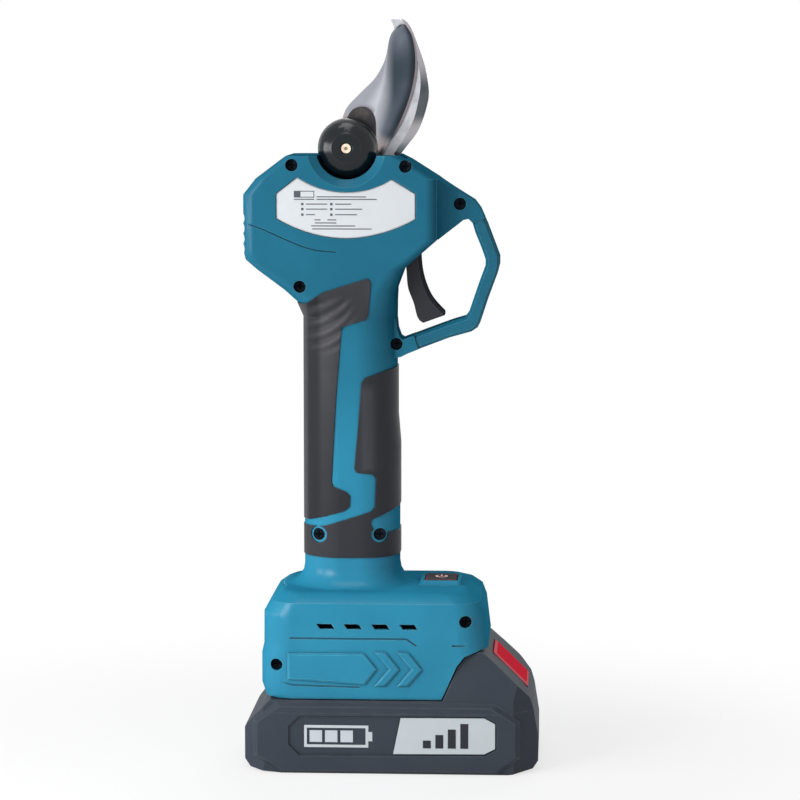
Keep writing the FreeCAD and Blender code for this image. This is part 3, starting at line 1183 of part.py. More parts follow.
def cells():
    """Round lithium cells side by side."""
    made = []
    for index in range(CELL_COUNT):
        x = cell_x(index)
        can = rod((x, -CELL_LENGTH / 2, CELL_Z), (0, 1, 0), CELL_LENGTH, CELL_R)
        made.append(can)
    return Part.makeCompound(made)


def cell_holders():
    """Two plastic combs that hold the cells apart near their ends."""
    combs = []
    for side in (FRONT, REAR):
        y0, y1 = sorted((side * (CELL_LENGTH / 2 - 9), side * (CELL_LENGTH / 2 - 3)))
        comb = box(cell_x(0) - CELL_R - 1.2, cell_x(CELL_COUNT - 1) + CELL_R + 1.2, y0, y1, PACK_WALL,
                   CELL_Z + CELL_R + 1.0)
        for index in range(CELL_COUNT):
            comb = comb.cut(rod((cell_x(index), y0 - 1, CELL_Z), (0, 1, 0), 8, CELL_R))
        combs.append(comb)
    return Part.makeCompound(combs)


def nickel_strips():
    """Welded strips that join neighbouring cells at their ends."""
    strips = []
    end = CELL_LENGTH / 2
    for side, starts in ((FRONT, (0, 2)), (REAR, (1, 3))):
        for index in starts:
            x0, x1 = cell_x(index) - 5, cell_x(index + 1) + 5
            y0, y1 = sorted((side * end, side * (end + 0.3)))
            strips.append(box(x0, x1, y0, y1, CELL_Z - 4, CELL_Z + 4))
    return Part.makeCompound(strips)


def bms_board():
    """Cell protection board over the cells, with its sense connector."""
    z = CELL_Z + CELL_R + 1.0
    board = box(-22, 38, -20, 20, z, z + 1.2)
    chips = [box(-18, -10, -6, 2, z + 1.2, z + 2.4), box(8, 20, 4, 12, z + 1.2, z + 2.6),
             box(26, 33, -14, -4, z + 1.2, z + 3.4)]
    return fuse([board] + chips)


def pack_contacts():
    """Female contacts beside the slots of the rail."""
    springs = []
    for y in BLADE_YS:
        springs.append(box(-5.9, -3.2, y - 1.0, y + 1.0, CELL_Z + CELL_R + 2.2, PACK_TOP - PACK_WALL))
    return Part.makeCompound(springs)


def latch_nose_room():
    """Window in the pack's seam face for the latch nose."""
    return box(38, 56, -LATCH_NOSE_HALF - 0.6, LATCH_NOSE_HALF + 0.6, PACK_TOP - PACK_WALL - 1, LATCH_NOSE_Z + 0.6)


def latch_button():
    """Red release button with grip ribs, on a carrier whose nose catches the foot."""
    press = slope_block(LATCH_LENGTH, LATCH_HALF, -LATCH_PLATE, 0.0)
    for y in SPRING_YS:
        press = press.cut(on_slope(rod((0, y, -LATCH_PLATE - 1), (0, 0, 1), LATCH_TRAVEL + 1.3, SPRING_R + SLACK)))
    carrier = box(LATCH_NOSE_X + 4, SLOPE_AT[0] - 2.5, -5, 5, LATCH_NOSE_Z - 6.5, LATCH_NOSE_Z - 3.5)
    nose = box(LATCH_NOSE_X, LATCH_NOSE_X + 5, -LATCH_NOSE_HALF, LATCH_NOSE_HALF, LATCH_NOSE_Z - 6.5, LATCH_NOSE_Z)
    ribs = []
    for row in range(5):
        ribs.append(on_slope(box(-6.6 + 2.9 * row, -5.2 + 2.9 * row, -LATCH_HALF + 4, LATCH_HALF - 4, -0.5, 0.6)))
    return fuse([press, carrier, nose] + ribs)


def latch_springs():
    """Two springs under the latch, as their coiled envelopes."""
    springs = []
    for y in SPRING_YS:
        springs.append(on_slope(ring((0, y, SPRING_FOOT), (0, 0, 1), -LATCH_PLATE - SPRING_FOOT, SPRING_R,
                                     SPRING_R - 0.7)))
    return Part.makeCompound(springs)


def nodes():
    """Every sub-part by its node name."""
    shell = housing()
    palm, finger = grip_regions()
    upper, lower = pack_cases()
    made = {
        "front_shell": half_shell(shell, FRONT), "rear_shell": half_shell(shell, REAR),
        "front_palm_grip": grip(palm, FRONT), "rear_palm_grip": grip(palm, REAR),
        "front_finger_grip": grip(finger, FRONT), "rear_finger_grip": grip(finger, REAR),
        "trigger_guard": trigger_guard(), "rating_label": rating_label(), "housing_screws": housing_screws(),
        "head_frame": head_frame(), "fixed_blade": fixed_blade(), "blade_screws": blade_screws(),
        "pivot_bolt": pivot_bolt(), "pivot_nut": pivot_nut(), "pivot_cap": pivot_cap(), "cap_screw": cap_screw(),
        "pinion_bearing": pinion_bearing(), "ring_gear": ring_gear(), "gearbox_cover": gearbox_cover(),
        "motor_can": motor_can(), "motor_end_cap": motor_end_cap(), "motor_bearings": motor_bearings(),
        "motor_stator": motor_stator(), "motor_coils": motor_coils(), "controller_board": controller_board(),
        "board_parts": board_parts(), "trigger_pin": trigger_pin(), "trigger_spring": trigger_spring(),
        "trigger_switch": trigger_switch(), "terminal_block": terminal_block(),
        "terminal_blades": terminal_blades(), "power_switch": power_switch(), "motor_leads": motor_leads(),
        "moving_blade": moving_blade(), "drive_gear": drive_gear(), "drive_pin": drive_pin(),
        "blade_bush": blade_bush(), "bevel_pinion": bevel_pinion(), "planet_carrier": planet_carrier(),
        "motor_shaft": motor_shaft(), "rotor": rotor(), "sun_gear": sun_gear(), "trigger": trigger(),
        "power_button": power_button(), "pack_upper_case": upper, "pack_lower_case": lower,
        "pack_screws": pack_screws(), "name_plates": name_plates(), "cells": cells(),
        "cell_holders": cell_holders(), "nickel_strips": nickel_strips(), "bms_board": bms_board(),
        "pack_contacts": pack_contacts(), "latch_springs": latch_springs(), "latch_button": latch_button(),
    }
    for index in range(PLANET_COUNT):
        made[f"planet_gear_{index + 1}"] = planet_gear(index)
    return made


def main():
    """Write one STEP file for each sub-part."""
    os.makedirs("parts", exist_ok=True)
    for name, shape in nodes().items():
        if not shape.isValid() or shape.Volume <= 0:
            print("bad shape:", name, shape.isValid(), shape.Volume)
        print(f"{name:20s} solids {len(shape.Solids):2d}  volume {shape.Volume:10.1f} mm3")
        shape.exportStep(f"parts/{name}.step")


main()
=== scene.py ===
"""Looks of a battery pruner: the finish of every moulded, ground and turned piece on its fixed frame."""

import json
import logging
import math
from collections.abc import Callable, Sequence
from dataclasses import dataclass
from enum import Enum
from functools import cached_property
from typing import ClassVar

import bmesh
import bpy
from mathutils import Matrix, Vector

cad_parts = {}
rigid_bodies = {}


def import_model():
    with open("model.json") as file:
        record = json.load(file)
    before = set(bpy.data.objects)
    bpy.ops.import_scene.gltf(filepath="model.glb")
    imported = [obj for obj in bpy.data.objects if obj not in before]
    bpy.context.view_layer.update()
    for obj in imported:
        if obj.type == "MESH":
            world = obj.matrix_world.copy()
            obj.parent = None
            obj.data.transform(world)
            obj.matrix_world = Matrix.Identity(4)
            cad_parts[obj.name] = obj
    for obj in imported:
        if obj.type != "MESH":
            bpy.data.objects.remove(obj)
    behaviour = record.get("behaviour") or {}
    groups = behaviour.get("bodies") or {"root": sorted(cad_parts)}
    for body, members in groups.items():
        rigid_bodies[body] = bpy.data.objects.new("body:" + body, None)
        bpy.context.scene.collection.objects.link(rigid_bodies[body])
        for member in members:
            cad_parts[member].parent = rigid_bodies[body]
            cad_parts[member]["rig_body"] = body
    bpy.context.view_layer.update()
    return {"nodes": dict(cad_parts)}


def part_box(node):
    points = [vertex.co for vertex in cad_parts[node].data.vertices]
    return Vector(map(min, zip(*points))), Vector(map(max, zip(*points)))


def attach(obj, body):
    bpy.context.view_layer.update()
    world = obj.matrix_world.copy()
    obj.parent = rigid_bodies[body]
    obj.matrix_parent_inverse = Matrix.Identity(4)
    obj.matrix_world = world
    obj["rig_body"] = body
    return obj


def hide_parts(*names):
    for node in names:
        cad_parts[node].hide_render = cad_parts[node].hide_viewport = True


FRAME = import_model()
# Points nearer than WELD are joined; faces within FLAT_LEAN are one face, and within SMOOTH_LEAN degrees shade as one.
MM = 0.001
WELD = 0.002 * MM
FLAT_LEAN = math.radians(0.4)
SMOOTH_LEAN = 28.0
FRONT, BACK = -1, 1
SIDE_NAMES = {FRONT: "front", BACK: "back"}
Pair = tuple[float, float]
Triple = tuple[float, float, float]
Colour = Triple
Bar = tuple[float, float, float, float]
Piece = bpy.types.Object
Shape = bmesh.types.BMesh
LOG = logging.getLogger("pruner")


# ---- Shader maths ----
class Socket:
    """A number socket that takes part in Python sums, each of which adds a Math node."""

    def __init__(self, shader: "Shader", link: bpy.types.NodeSocket | None) -> None:
        """Keep the shader that holds the socket.

        Args:
            shader: The shader whose nodes are added to.
            link: The output socket that carries the value, or None on a node that ends the tree.
        """
        self.shader = shader
        self.link = link

    def math(self, operation: str, *others: "Socket | float") -> "Socket":
        """Add a Math node on this value.

        Args:
            operation: Blender's name of the operation.
            others: The further operands.

        Returns:
            The result.
        """
        return self.shader.add("ShaderNodeMath", {"operation": operation}, dict(enumerate((self, *others))))

    def __add__(self, other: "Socket | float") -> "Socket":
        """Sum of two values."""
        return self.math("ADD", other)

    __radd__ = __add__

    def __mul__(self, other: "Socket | float") -> "Socket":
        """Product of two values."""
        return self.math("MULTIPLY", other)

    __rmul__ = __mul__

    def __sub__(self, other: "Socket | float") -> "Socket":
        """Difference of two values."""
        return self.math("SUBTRACT", other)

    def __rsub__(self, other: float) -> "Socket":
        """A number less this value."""
        return self.math("MULTIPLY_ADD", -1.0, other)

    def __abs__(self) -> "Socket":
        """Size without sign."""
        return self.math("ABSOLUTE")

    def sine(self) -> "Socket":
        """Take the sine of the value in radians.

        Returns:
            The sine.
        """
        return self.math("SINE")

    def step(self, low: float, high: float) -> "Socket":
        """Smooth rise from 0 at low to 1 at high, or a fall where low is the larger.

        Args:
            low: Value at which the step starts.
            high: Value at which it ends.

        Returns:
            The step, between 0 and 1.
        """
        falls = high < low
        values = {"Value": self, "From Min": min(low, high), "From Max": max(low, high)}
        rise = self.shader.add("ShaderNodeMapRange", {"interpolation_type": "SMOOTHSTEP"}, values)
        return 1.0 - rise if falls else rise

    def between(self, starts: float, full: float, fades: float, gone: float) -> "Socket":
        """Mask of a range with soft ends.

        Args:
            starts: Value at which the mask starts to rise from 0.
            full: Value at which it reaches 1.
            fades: Value at which it starts to fall.
            gone: Value at which it is 0 again.

        Returns:
            The mask.
        """
        return self.step(starts, full) * self.step(gone, fades)


class Shader:
    """Node tree of one finish or of the world."""

    # Cosine of a rounded edge's lean, and open share of the sky in a corner, where each starts and is full.
    RAYS = 4
    EDGE_LEAN = (0.995, 0.93)
    OPEN_SKY = (0.9, 0.45)

    def __init__(self, owner: bpy.types.Material | bpy.types.World) -> None:
        """Start an empty tree.

        Args:
            owner: Material or world that holds the tree.
        """
        owner.use_nodes = True
        self.tree = owner.node_tree
        self.tree.nodes.clear()

    @cached_property
    def place(self) -> Socket:
        """Add the object's own coordinates, once.

        Returns:
            The coordinates, in metres.
        """
        return self.add("ShaderNodeTexCoord", output="Object")

    def add(self, kind: str, settings: dict[str, object] | None = None,
            values: dict[str | int, object] | None = None, output: str | int = 0) -> Socket:
        """Add a node.

        Args:
            kind: Blender's type name of the node.
            settings: Attributes of the node, which are set first.
            values: Values or links of its input sockets, by name or place.
            output: The output wanted, by name or place.

        Returns:
            That output.
        """
        node = self.tree.nodes.new(kind)
        for key, value in (settings or {}).items():
            setattr(node, key, value)
        for key, value in (values or {}).items():
            if isinstance(value, Socket):
                self.tree.links.new(value.link, node.inputs[key])
            else:
                node.inputs[key].default_value = value
        return Socket(self, node.outputs[output] if len(node.outputs) else None)

    def axis(self, name: str) -> Socket:
        """One of the object's own coordinates, in metres.

        Args:
            name: X, Y or Z.

        Returns:
            That coordinate.
        """
        return self.add("ShaderNodeSeparateXYZ", values={0: self.place}, output=name)

    def noise(self, scale: float, detail: float = 2.0, stretch: Triple | None = None) -> Socket:
        """Smooth noise about 0.5 on the object's coordinates.

        Args:
            scale: Features to the metre.
            detail: Octaves.
            stretch: Factors on the three coordinates, for drawn-out marks.

        Returns:
            The noise.
        """
        place = self.place
        if stretch:
            place = self.add("ShaderNodeMapping", values={"Vector": place, "Scale": stretch})
        return self.add("ShaderNodeTexNoise", values={"Vector": place, "Scale": scale, "Detail": detail})

    def mix(self, factor: Socket | float, first: "Socket | Colour", second: "Socket | Colour",
            blend: str = "MIX") -> Socket:
        """Mix two colours.

        Args:
            factor: Share of the second.
            first: First colour.
            second: Second colour.
            blend: Blender's name of the blending mode.

        Returns:
            The mixed colour.
        """
        pair = [c if isinstance(c, Socket) else (*c, 1.0) for c in (first, second)]
        return self.add("ShaderNodeMix", {"data_type": "RGBA", "blend_type": blend},
                        {0: factor, 6: pair[0], 7: pair[1]}, output=2)

    def rounded(self, radius: float) -> Socket:
        """Normal that rounds sharp edges off.

        Args:
            radius: Radius of the rounding, in metres.

        Returns:
            The normal.
        """
        return self.add("ShaderNodeBevel", {"samples": self.RAYS}, {"Radius": radius})

    def edge(self, normal: Socket) -> Socket:
        """Mask that is 1 on rounded edges.

        Args:
            normal: The rounding normal.

        Returns:
            The mask.
        """
        plain = self.add("ShaderNodeNewGeometry", output="Normal")
        dot = self.add("ShaderNodeVectorMath", {"operation": "DOT_PRODUCT"}, {0: normal, 1: plain}, output="Value")
        return dot.step(*self.EDGE_LEAN)

    def facing(self) -> Socket:
        """How squarely a face looks to the front or the back of the tool.

        Returns:
            A value from 0 on the sides to 1.
        """
        normal = self.add("ShaderNodeNewGeometry", output="Normal")
        return abs(self.add("ShaderNodeSeparateXYZ", values={0: normal}, output="Y"))

    def crevice(self, reach: float = 1.6 * MM) -> Socket:
        """Mask of the corners and seams, where shade is painted in.

        Args:
            reach: How far a corner's shade reaches, in metres.

        Returns:
            The mask.
        """
        clear = self.add("ShaderNodeAmbientOcclusion", {"samples": self.RAYS}, {"Distance": reach}, output="AO")
        return clear.step(*self.OPEN_SKY)

    def bump(self, height: Socket, depth: float, normal: Socket | None = None) -> Socket:
        """Relief from a height.

        Args:
            height: The height, in units of depth.
            depth: Depth of a height of 1, in metres.
            normal: Normal under the relief.

        Returns:
            The normal with the relief.
        """
        values: dict[str | int, object] = {"Height": height, "Distance": depth, "Strength": 1.0}
        if normal is not None:
            values["Normal"] = normal
        return self.add("ShaderNodeBump", values=values)

    def surface(self, **values: object) -> None:
        """End the tree in a Principled surface.

        Args:
            values: Its sockets, with underscores for spaces.
        """
        named = {key.replace("_", " "): value for key, value in values.items()}
        named = {key: (*value, 1.0) if isinstance(value, tuple) and len(value) == 3 else value
                 for key, value in named.items()}
        surface = self.add("ShaderNodeBsdfPrincipled", values=named)
        self.add("ShaderNodeOutputMaterial", values={"Surface": surface})


# ---- Finishes ----
@dataclass(frozen=True)
class MouldedPlastic:
    """Fine-textured moulded plastic with slight mottling, edges painted lighter from rubbing wear and as highlight,
    painted shade in corners, and, where a low colour is given, painted lighter low down as light on the foot.
    """

    name: str
    colour: Colour
    edge: Colour
    roughness: float = 0.42
    rounding: float = 0.35 * MM
    gloss: float = 0.14
    coat: float = 0.0
    coat_roughness: float = 0.26
    coat_faces: Pair = (0.3, 0.85)
    grain: float = 1800.0
    grain_depth: float = 0.012 * MM
    mottle: float = 38.0
    mottle_tint: Colour = (0.86, 0.88, 0.9)
    wear: float = 140.0
    edge_share: float = 0.8
    shade_share: float = 0.62
    shade_tint: float = 0.25
    scuff: float = 260.0
    scuff_stretch: Triple = (1.0, 1.0, 0.22)
    low_zone: Pair = (100 * MM, 200 * MM)
    lit_low_colour: Colour | None = None
    lit_low_edge: Colour = (0.20, 0.50, 0.61)
    low_coat: float = 0.15

    def make(self, shader: Shader) -> None:
        """Build the finish.

        Args:
            shader: Empty tree that takes it.
        """
        normal = shader.rounded(self.rounding)
        base: Socket | Colour = self.colour
        edge: Socket | Colour = self.edge
        sheen: Socket | float = self.coat
        # Painted light: low down, the colour and edge colour are painted lighter, standing in for the light on the
        # foot.
        if self.lit_low_colour:
            height = shader.axis("Z").step(*self.low_zone)
            base = shader.mix(height, self.lit_low_colour, self.colour)
            edge = shader.mix(height, self.lit_low_edge, self.edge)
            sheen = (1.0 - height) * self.low_coat + self.coat
        mottle = shader.noise(self.mottle, 3.0)
        darker = shader.mix(1.0, base, self.mottle_tint, "MULTIPLY")
        body = shader.mix(mottle.step(0.3, 0.75), darker, base)
        # Rounded edges are painted lighter: partly rubbing wear, partly painted highlight.
        rubbed_and_lit_edges = shader.edge(normal) * (shader.noise(self.wear, 4.0).step(0.3, 0.62) * 0.5 + 0.5)
        body = shader.mix(rubbed_and_lit_edges * self.edge_share, body, edge)
        # Painted shade: corners and seams are darkened towards a darker copy of the colour.
        shade = tuple(channel * self.shade_tint for channel in self.colour)
        body = shader.mix(shader.crevice() * self.shade_share, body, shade)
        scuff = shader.noise(self.scuff, 5.0, self.scuff_stretch).step(0.66, 0.8)
        rough = self.roughness + mottle * 0.08 + scuff * 0.12 - rubbed_and_lit_edges * 0.08
        relief = shader.bump(shader.noise(self.grain, 2.0), self.grain_depth, normal)
        coat: Socket | float = shader.facing().step(*self.coat_faces) * sheen if self.coat else 0.0
        shader.surface(Base_Color=body, Roughness=rough, Normal=relief, Coat_Weight=coat,
                       Coat_Roughness=self.coat_roughness, Specular_IOR_Level=self.gloss)


@dataclass(frozen=True)
class GripRubber:
    """Soft overmoulded rubber with hand ripples, paler on its edges and ripple crests from wear and painted highlight,
    with painted highlight on the palm's inner facet and left rim and down a band of the finger pad.
    """

    name: str
    colour: Colour = (0.0105, 0.0115, 0.0155)
    pale_wear_and_highlight: Colour = (0.074, 0.074, 0.086)
    palm: float = 0.0
    gloss: float = 0.2
    rounding: float = 0.5 * MM
    ripple_top: float = 192 * MM
    ripple_foot: float = 166 * MM
    ripple_pitch: float = 5.2 * MM
    ripple_depth: float = 0.3 * MM
    ripple_middle: float = -12 * MM
    ripple_bow: float = 26.0
    ripple_slant: float = 0.25
    ripple_sides: Bar = (-18.5 * MM, -13 * MM, -2 * MM, 4 * MM)
    palm_inner_highlight: Pair = (-12.5 * MM, -9.5 * MM)
    palm_rise: Pair = (105 * MM, 180 * MM)
    palm_rim_highlight: Pair = (-15.5 * MM, -17.2 * MM)
    finger_highlight_sides: Bar = (4.8 * MM, 7.2 * MM, 9 * MM, 13 * MM)
    finger_highlight_ends: Bar = (119 * MM, 122 * MM, 152 * MM, 157 * MM)

    def make(self, shader: Shader) -> None:
        """Build the finish.

        Args:
            shader: Empty tree that takes it.
        """
        x, z = shader.axis("X"), shader.axis("Z")
        off = x - self.ripple_middle
        wave = z - off * off * self.ripple_bow - x * self.ripple_slant
        ends = self.ripple_foot, self.ripple_foot + 6 * MM, self.ripple_top - 5 * MM, self.ripple_top
        band = z.between(*ends) * x.between(*self.ripple_sides)
        ripple = (wave * (2 * math.pi / self.ripple_pitch)).sine() * band
        blotch = shader.noise(60.0, 4.0)
        normal = shader.rounded(self.rounding)
        # Painted highlight: edges and ripple crests (partly wear), the palm's inner facet and left rim, and a band
        # down the finger pad are mixed towards the pale colour.
        wear_and_highlight = shader.edge(normal) * 0.6 + (ripple * 0.5 + 0.5) * band * 0.35
        palm_highlight = x.step(*self.palm_inner_highlight) * (z.step(*self.palm_rise) * 0.3 + 0.15) + x.step(*self.palm_rim_highlight) * 0.5
        finger_highlight = x.between(*self.finger_highlight_sides) * z.between(*self.finger_highlight_ends)
        wear_and_highlight = wear_and_highlight + palm_highlight * self.palm + finger_highlight * (1.0 - self.palm) * 0.55
        colour = shader.mix(wear_and_highlight * (blotch.step(0.25, 0.7) * 0.4 + 0.6), self.colour, self.pale_wear_and_highlight)
        relief = shader.bump(shader.noise(3200.0, 2.0) * 0.03 + ripple, self.ripple_depth, normal)
        rough = 0.5 + blotch * 0.16 - wear_and_highlight * 0.1
        shader.surface(Base_Color=colour, Roughness=rough, Normal=relief, Specular_IOR_Level=self.gloss)


@dataclass(frozen=True)
class HollowGround:
    """Cutting blade: a brushed flat, a ridge with a painted highlight and a hollow under mirror polish that runs to
    the edge, painted dark with paler patches as its reflection.

    Places are shares of the blade's own map, from spine to edge and from heel to tip.
    """

    name: str
    flat: Colour = (0.30, 0.31, 0.35)
    ridge: Colour = (0.62, 0.64, 0.69)
    hollow: Colour = (0.042, 0.056, 0.071)
    cloud: Colour = (0.24, 0.27, 0.33)
    line: Colour = (0.012, 0.014, 0.018)
    stain: Colour = (0.33, 0.22, 0.18)
    blush: Colour = (0.30, 0.25, 0.27)
    ridge_at: float = 0.4
    hollow_starts: float = -0.04
    hollow_full: float = 0.32
    tip_shift: float = 0.17
    waver: float = 0.12
    brush: Triple = (9.0, 9.0, 0.6)
    brush_depth: float = 0.003 * MM
    heel: Pair = (0.16, 0.04)
    line_across: Pair = (0.8, 0.93)
    blush_across: Pair = (0.955, 0.967)

    def make(self, shader: Shader) -> None:
        """Build the finish.

        Args:
            shader: Empty tree that takes it.
        """
        chart = shader.add("ShaderNodeUVMap", {"uv_map": "grind"})
        across = shader.add("ShaderNodeSeparateXYZ", values={0: chart}, output="X")
        along = shader.add("ShaderNodeSeparateXYZ", values={0: chart}, output="Y")
        lines = shader.noise(420.0, 3.0, self.brush)
        soft = shader.noise(52.0, 2.0)
        waver = across + (soft - 0.5) * self.waver
        # Painted highlight: the flat is painted paler towards the ridge.
        ridge_highlight = waver.step(0.12, self.ridge_at)
        flat = shader.mix(ridge_highlight * 0.62 + lines * 0.1, self.flat, self.ridge)
        tip = along.step(0.3, 0.62) * self.tip_shift
        depth = (waver + tip).step(self.ridge_at + self.hollow_starts, self.ridge_at + self.hollow_full)
        # Painted reflection: the hollow is painted dark, with paler patches low down, near the tip and at random.
        low = along.step(0.46, 0.16) * (soft.step(0.3, 0.62) * 0.6 + 0.4)
        high = along.step(0.62, 0.97) * waver.step(0.98, 0.6)
        reflection_clouds = low * waver.between(0.42, 0.6, 0.66, 0.9) * 0.8 + high * 0.55 + soft.step(0.35, 0.75) * 0.16
        polished_reflection = shader.mix(reflection_clouds, self.hollow, self.cloud)
        body = shader.mix(depth, flat, polished_reflection)
        # The heel is painted paler in the ridge's highlight colour, and gets real brown stains.
        heel = along.step(*self.heel)
        body = shader.mix(heel * 0.7, body, self.ridge)
        body = shader.mix(heel * shader.noise(90.0, 3.0).step(0.4, 0.55) * 0.65, body, self.stain)
        # Painted reflection: a darker line runs near the cutting edge.
        body = shader.mix(across.step(*self.line_across) * along.step(0.08, 0.3) * 0.6, body, self.line)
        body = shader.mix(across.step(*self.blush_across) * along.step(0.12, 0.3) * 0.85, body, self.blush)
        rough = 0.3 + lines * 0.1 - depth * 0.14
        relief = shader.bump(lines, self.brush_depth)
        shader.surface(Base_Color=body, Metallic=1.0, Roughness=rough, Normal=relief)


@dataclass(frozen=True)
class Metal:
    """Turned, cut or plated metal with tool marks and tarnish, its rounded edges painted lighter as highlight and its
    corners painted in shade.
    """

    name: str
    colour: Colour
    tarnish: Colour
    roughness: float = 0.34
    marks: Triple = (1.0, 1.0, 12.0)
    mark_depth: float = 0.006 * MM
    rounding: float = 0.15 * MM
    edge_highlight_tint: float = 1.5
    shade_tint: float = 0.12
    shade_reach: float = 1.0 * MM

    def make(self, shader: Shader) -> None:
        """Build the finish.

        Args:
            shader: Empty tree that takes it.
        """
        normal = shader.rounded(self.rounding)
        drawn = shader.noise(300.0, 3.0, self.marks)
        tarnish = shader.noise(180.0, 4.0)
        body = shader.mix(tarnish.step(0.42, 0.72), self.colour, self.tarnish)
        # Painted highlight on rounded edges, and painted shade in corners.
        edge_highlight = tuple(min(1.0, channel * self.edge_highlight_tint) for channel in self.colour)
        shade = tuple(channel * self.shade_tint for channel in self.colour)
        body = shader.mix(shader.edge(normal) * 0.5, body, edge_highlight)
        body = shader.mix(shader.crevice(self.shade_reach) * 0.7, body, shade)
        rough = self.roughness + drawn * 0.14 + tarnish * 0.06
        relief = shader.bump(drawn, self.mark_depth, normal)
        shader.surface(Base_Color=body, Metallic=1.0, Roughness=rough, Normal=relief)


@dataclass(frozen=True)
class GroundBevel:
    """Outer bevel of the hook: painted dark along its middle as the reflection of its polish, pale towards both ends.
    """

    name: str
    dark: Colour = (0.075, 0.090, 0.100)
    pale: Colour = (0.40, 0.385, 0.41)
    dark_reflection_part: Bar = (257.5 * MM, 263.5 * MM, 273 * MM, 285 * MM)

    def make(self, shader: Shader) -> None:
        """Build the finish.

        Args:
            shader: Empty tree that takes it.
        """
        cloud = shader.noise(150.0, 3.0)
        middle = shader.axis("Z").between(*self.dark_reflection_part)
        # Painted reflection: the middle band is painted dark.
        body = shader.mix(middle * (cloud * 0.3 + 0.8), self.pale, self.dark)
        shader.surface(Base_Color=body, Metallic=1.0, Roughness=0.24 + cloud * 0.08)


@dataclass(frozen=True)
class SatinFilm:
    """Printed film or label stock: smooth, slightly uneven, with a rim of another tone."""

    name: str
    colour: Colour
    edge: Colour
    roughness: float = 0.3
    gloss: float = 0.14
    rim: float = 0.12 * MM
    cloud_tint: float = 0.8
    relief_depth: float = 0.004 * MM

    def make(self, shader: Shader) -> None:
        """Build the finish.

        Args:
            shader: Empty tree that takes it.
        """
        normal = shader.rounded(self.rim)
        cloud = shader.noise(110.0, 3.0)
        dusty = tuple(channel * self.cloud_tint for channel in self.colour)
        body = shader.mix(cloud.step(0.3, 0.8) * 0.12, self.colour, dusty)
        body = shader.mix(shader.edge(normal) * 0.75, body, self.edge)
        relief = shader.bump(shader.noise(900.0, 2.0), self.relief_depth, normal)
        shader.surface(Base_Color=body, Roughness=self.roughness + cloud * 0.1, Normal=relief,
                       Specular_IOR_Level=self.gloss)


TEAL = (0.015, 0.145, 0.232)
# The lower teal is painted lighter, standing in for the light on the foot.
TEAL_LIT_LOW = (0.024, 0.252, 0.400)
# Edge teal: colour of rubbing wear and painted highlight on rounded edges.
TEAL_WORN_LIT_EDGE = (0.10, 0.36, 0.47)
PACK_GREY = (0.040, 0.051, 0.067)


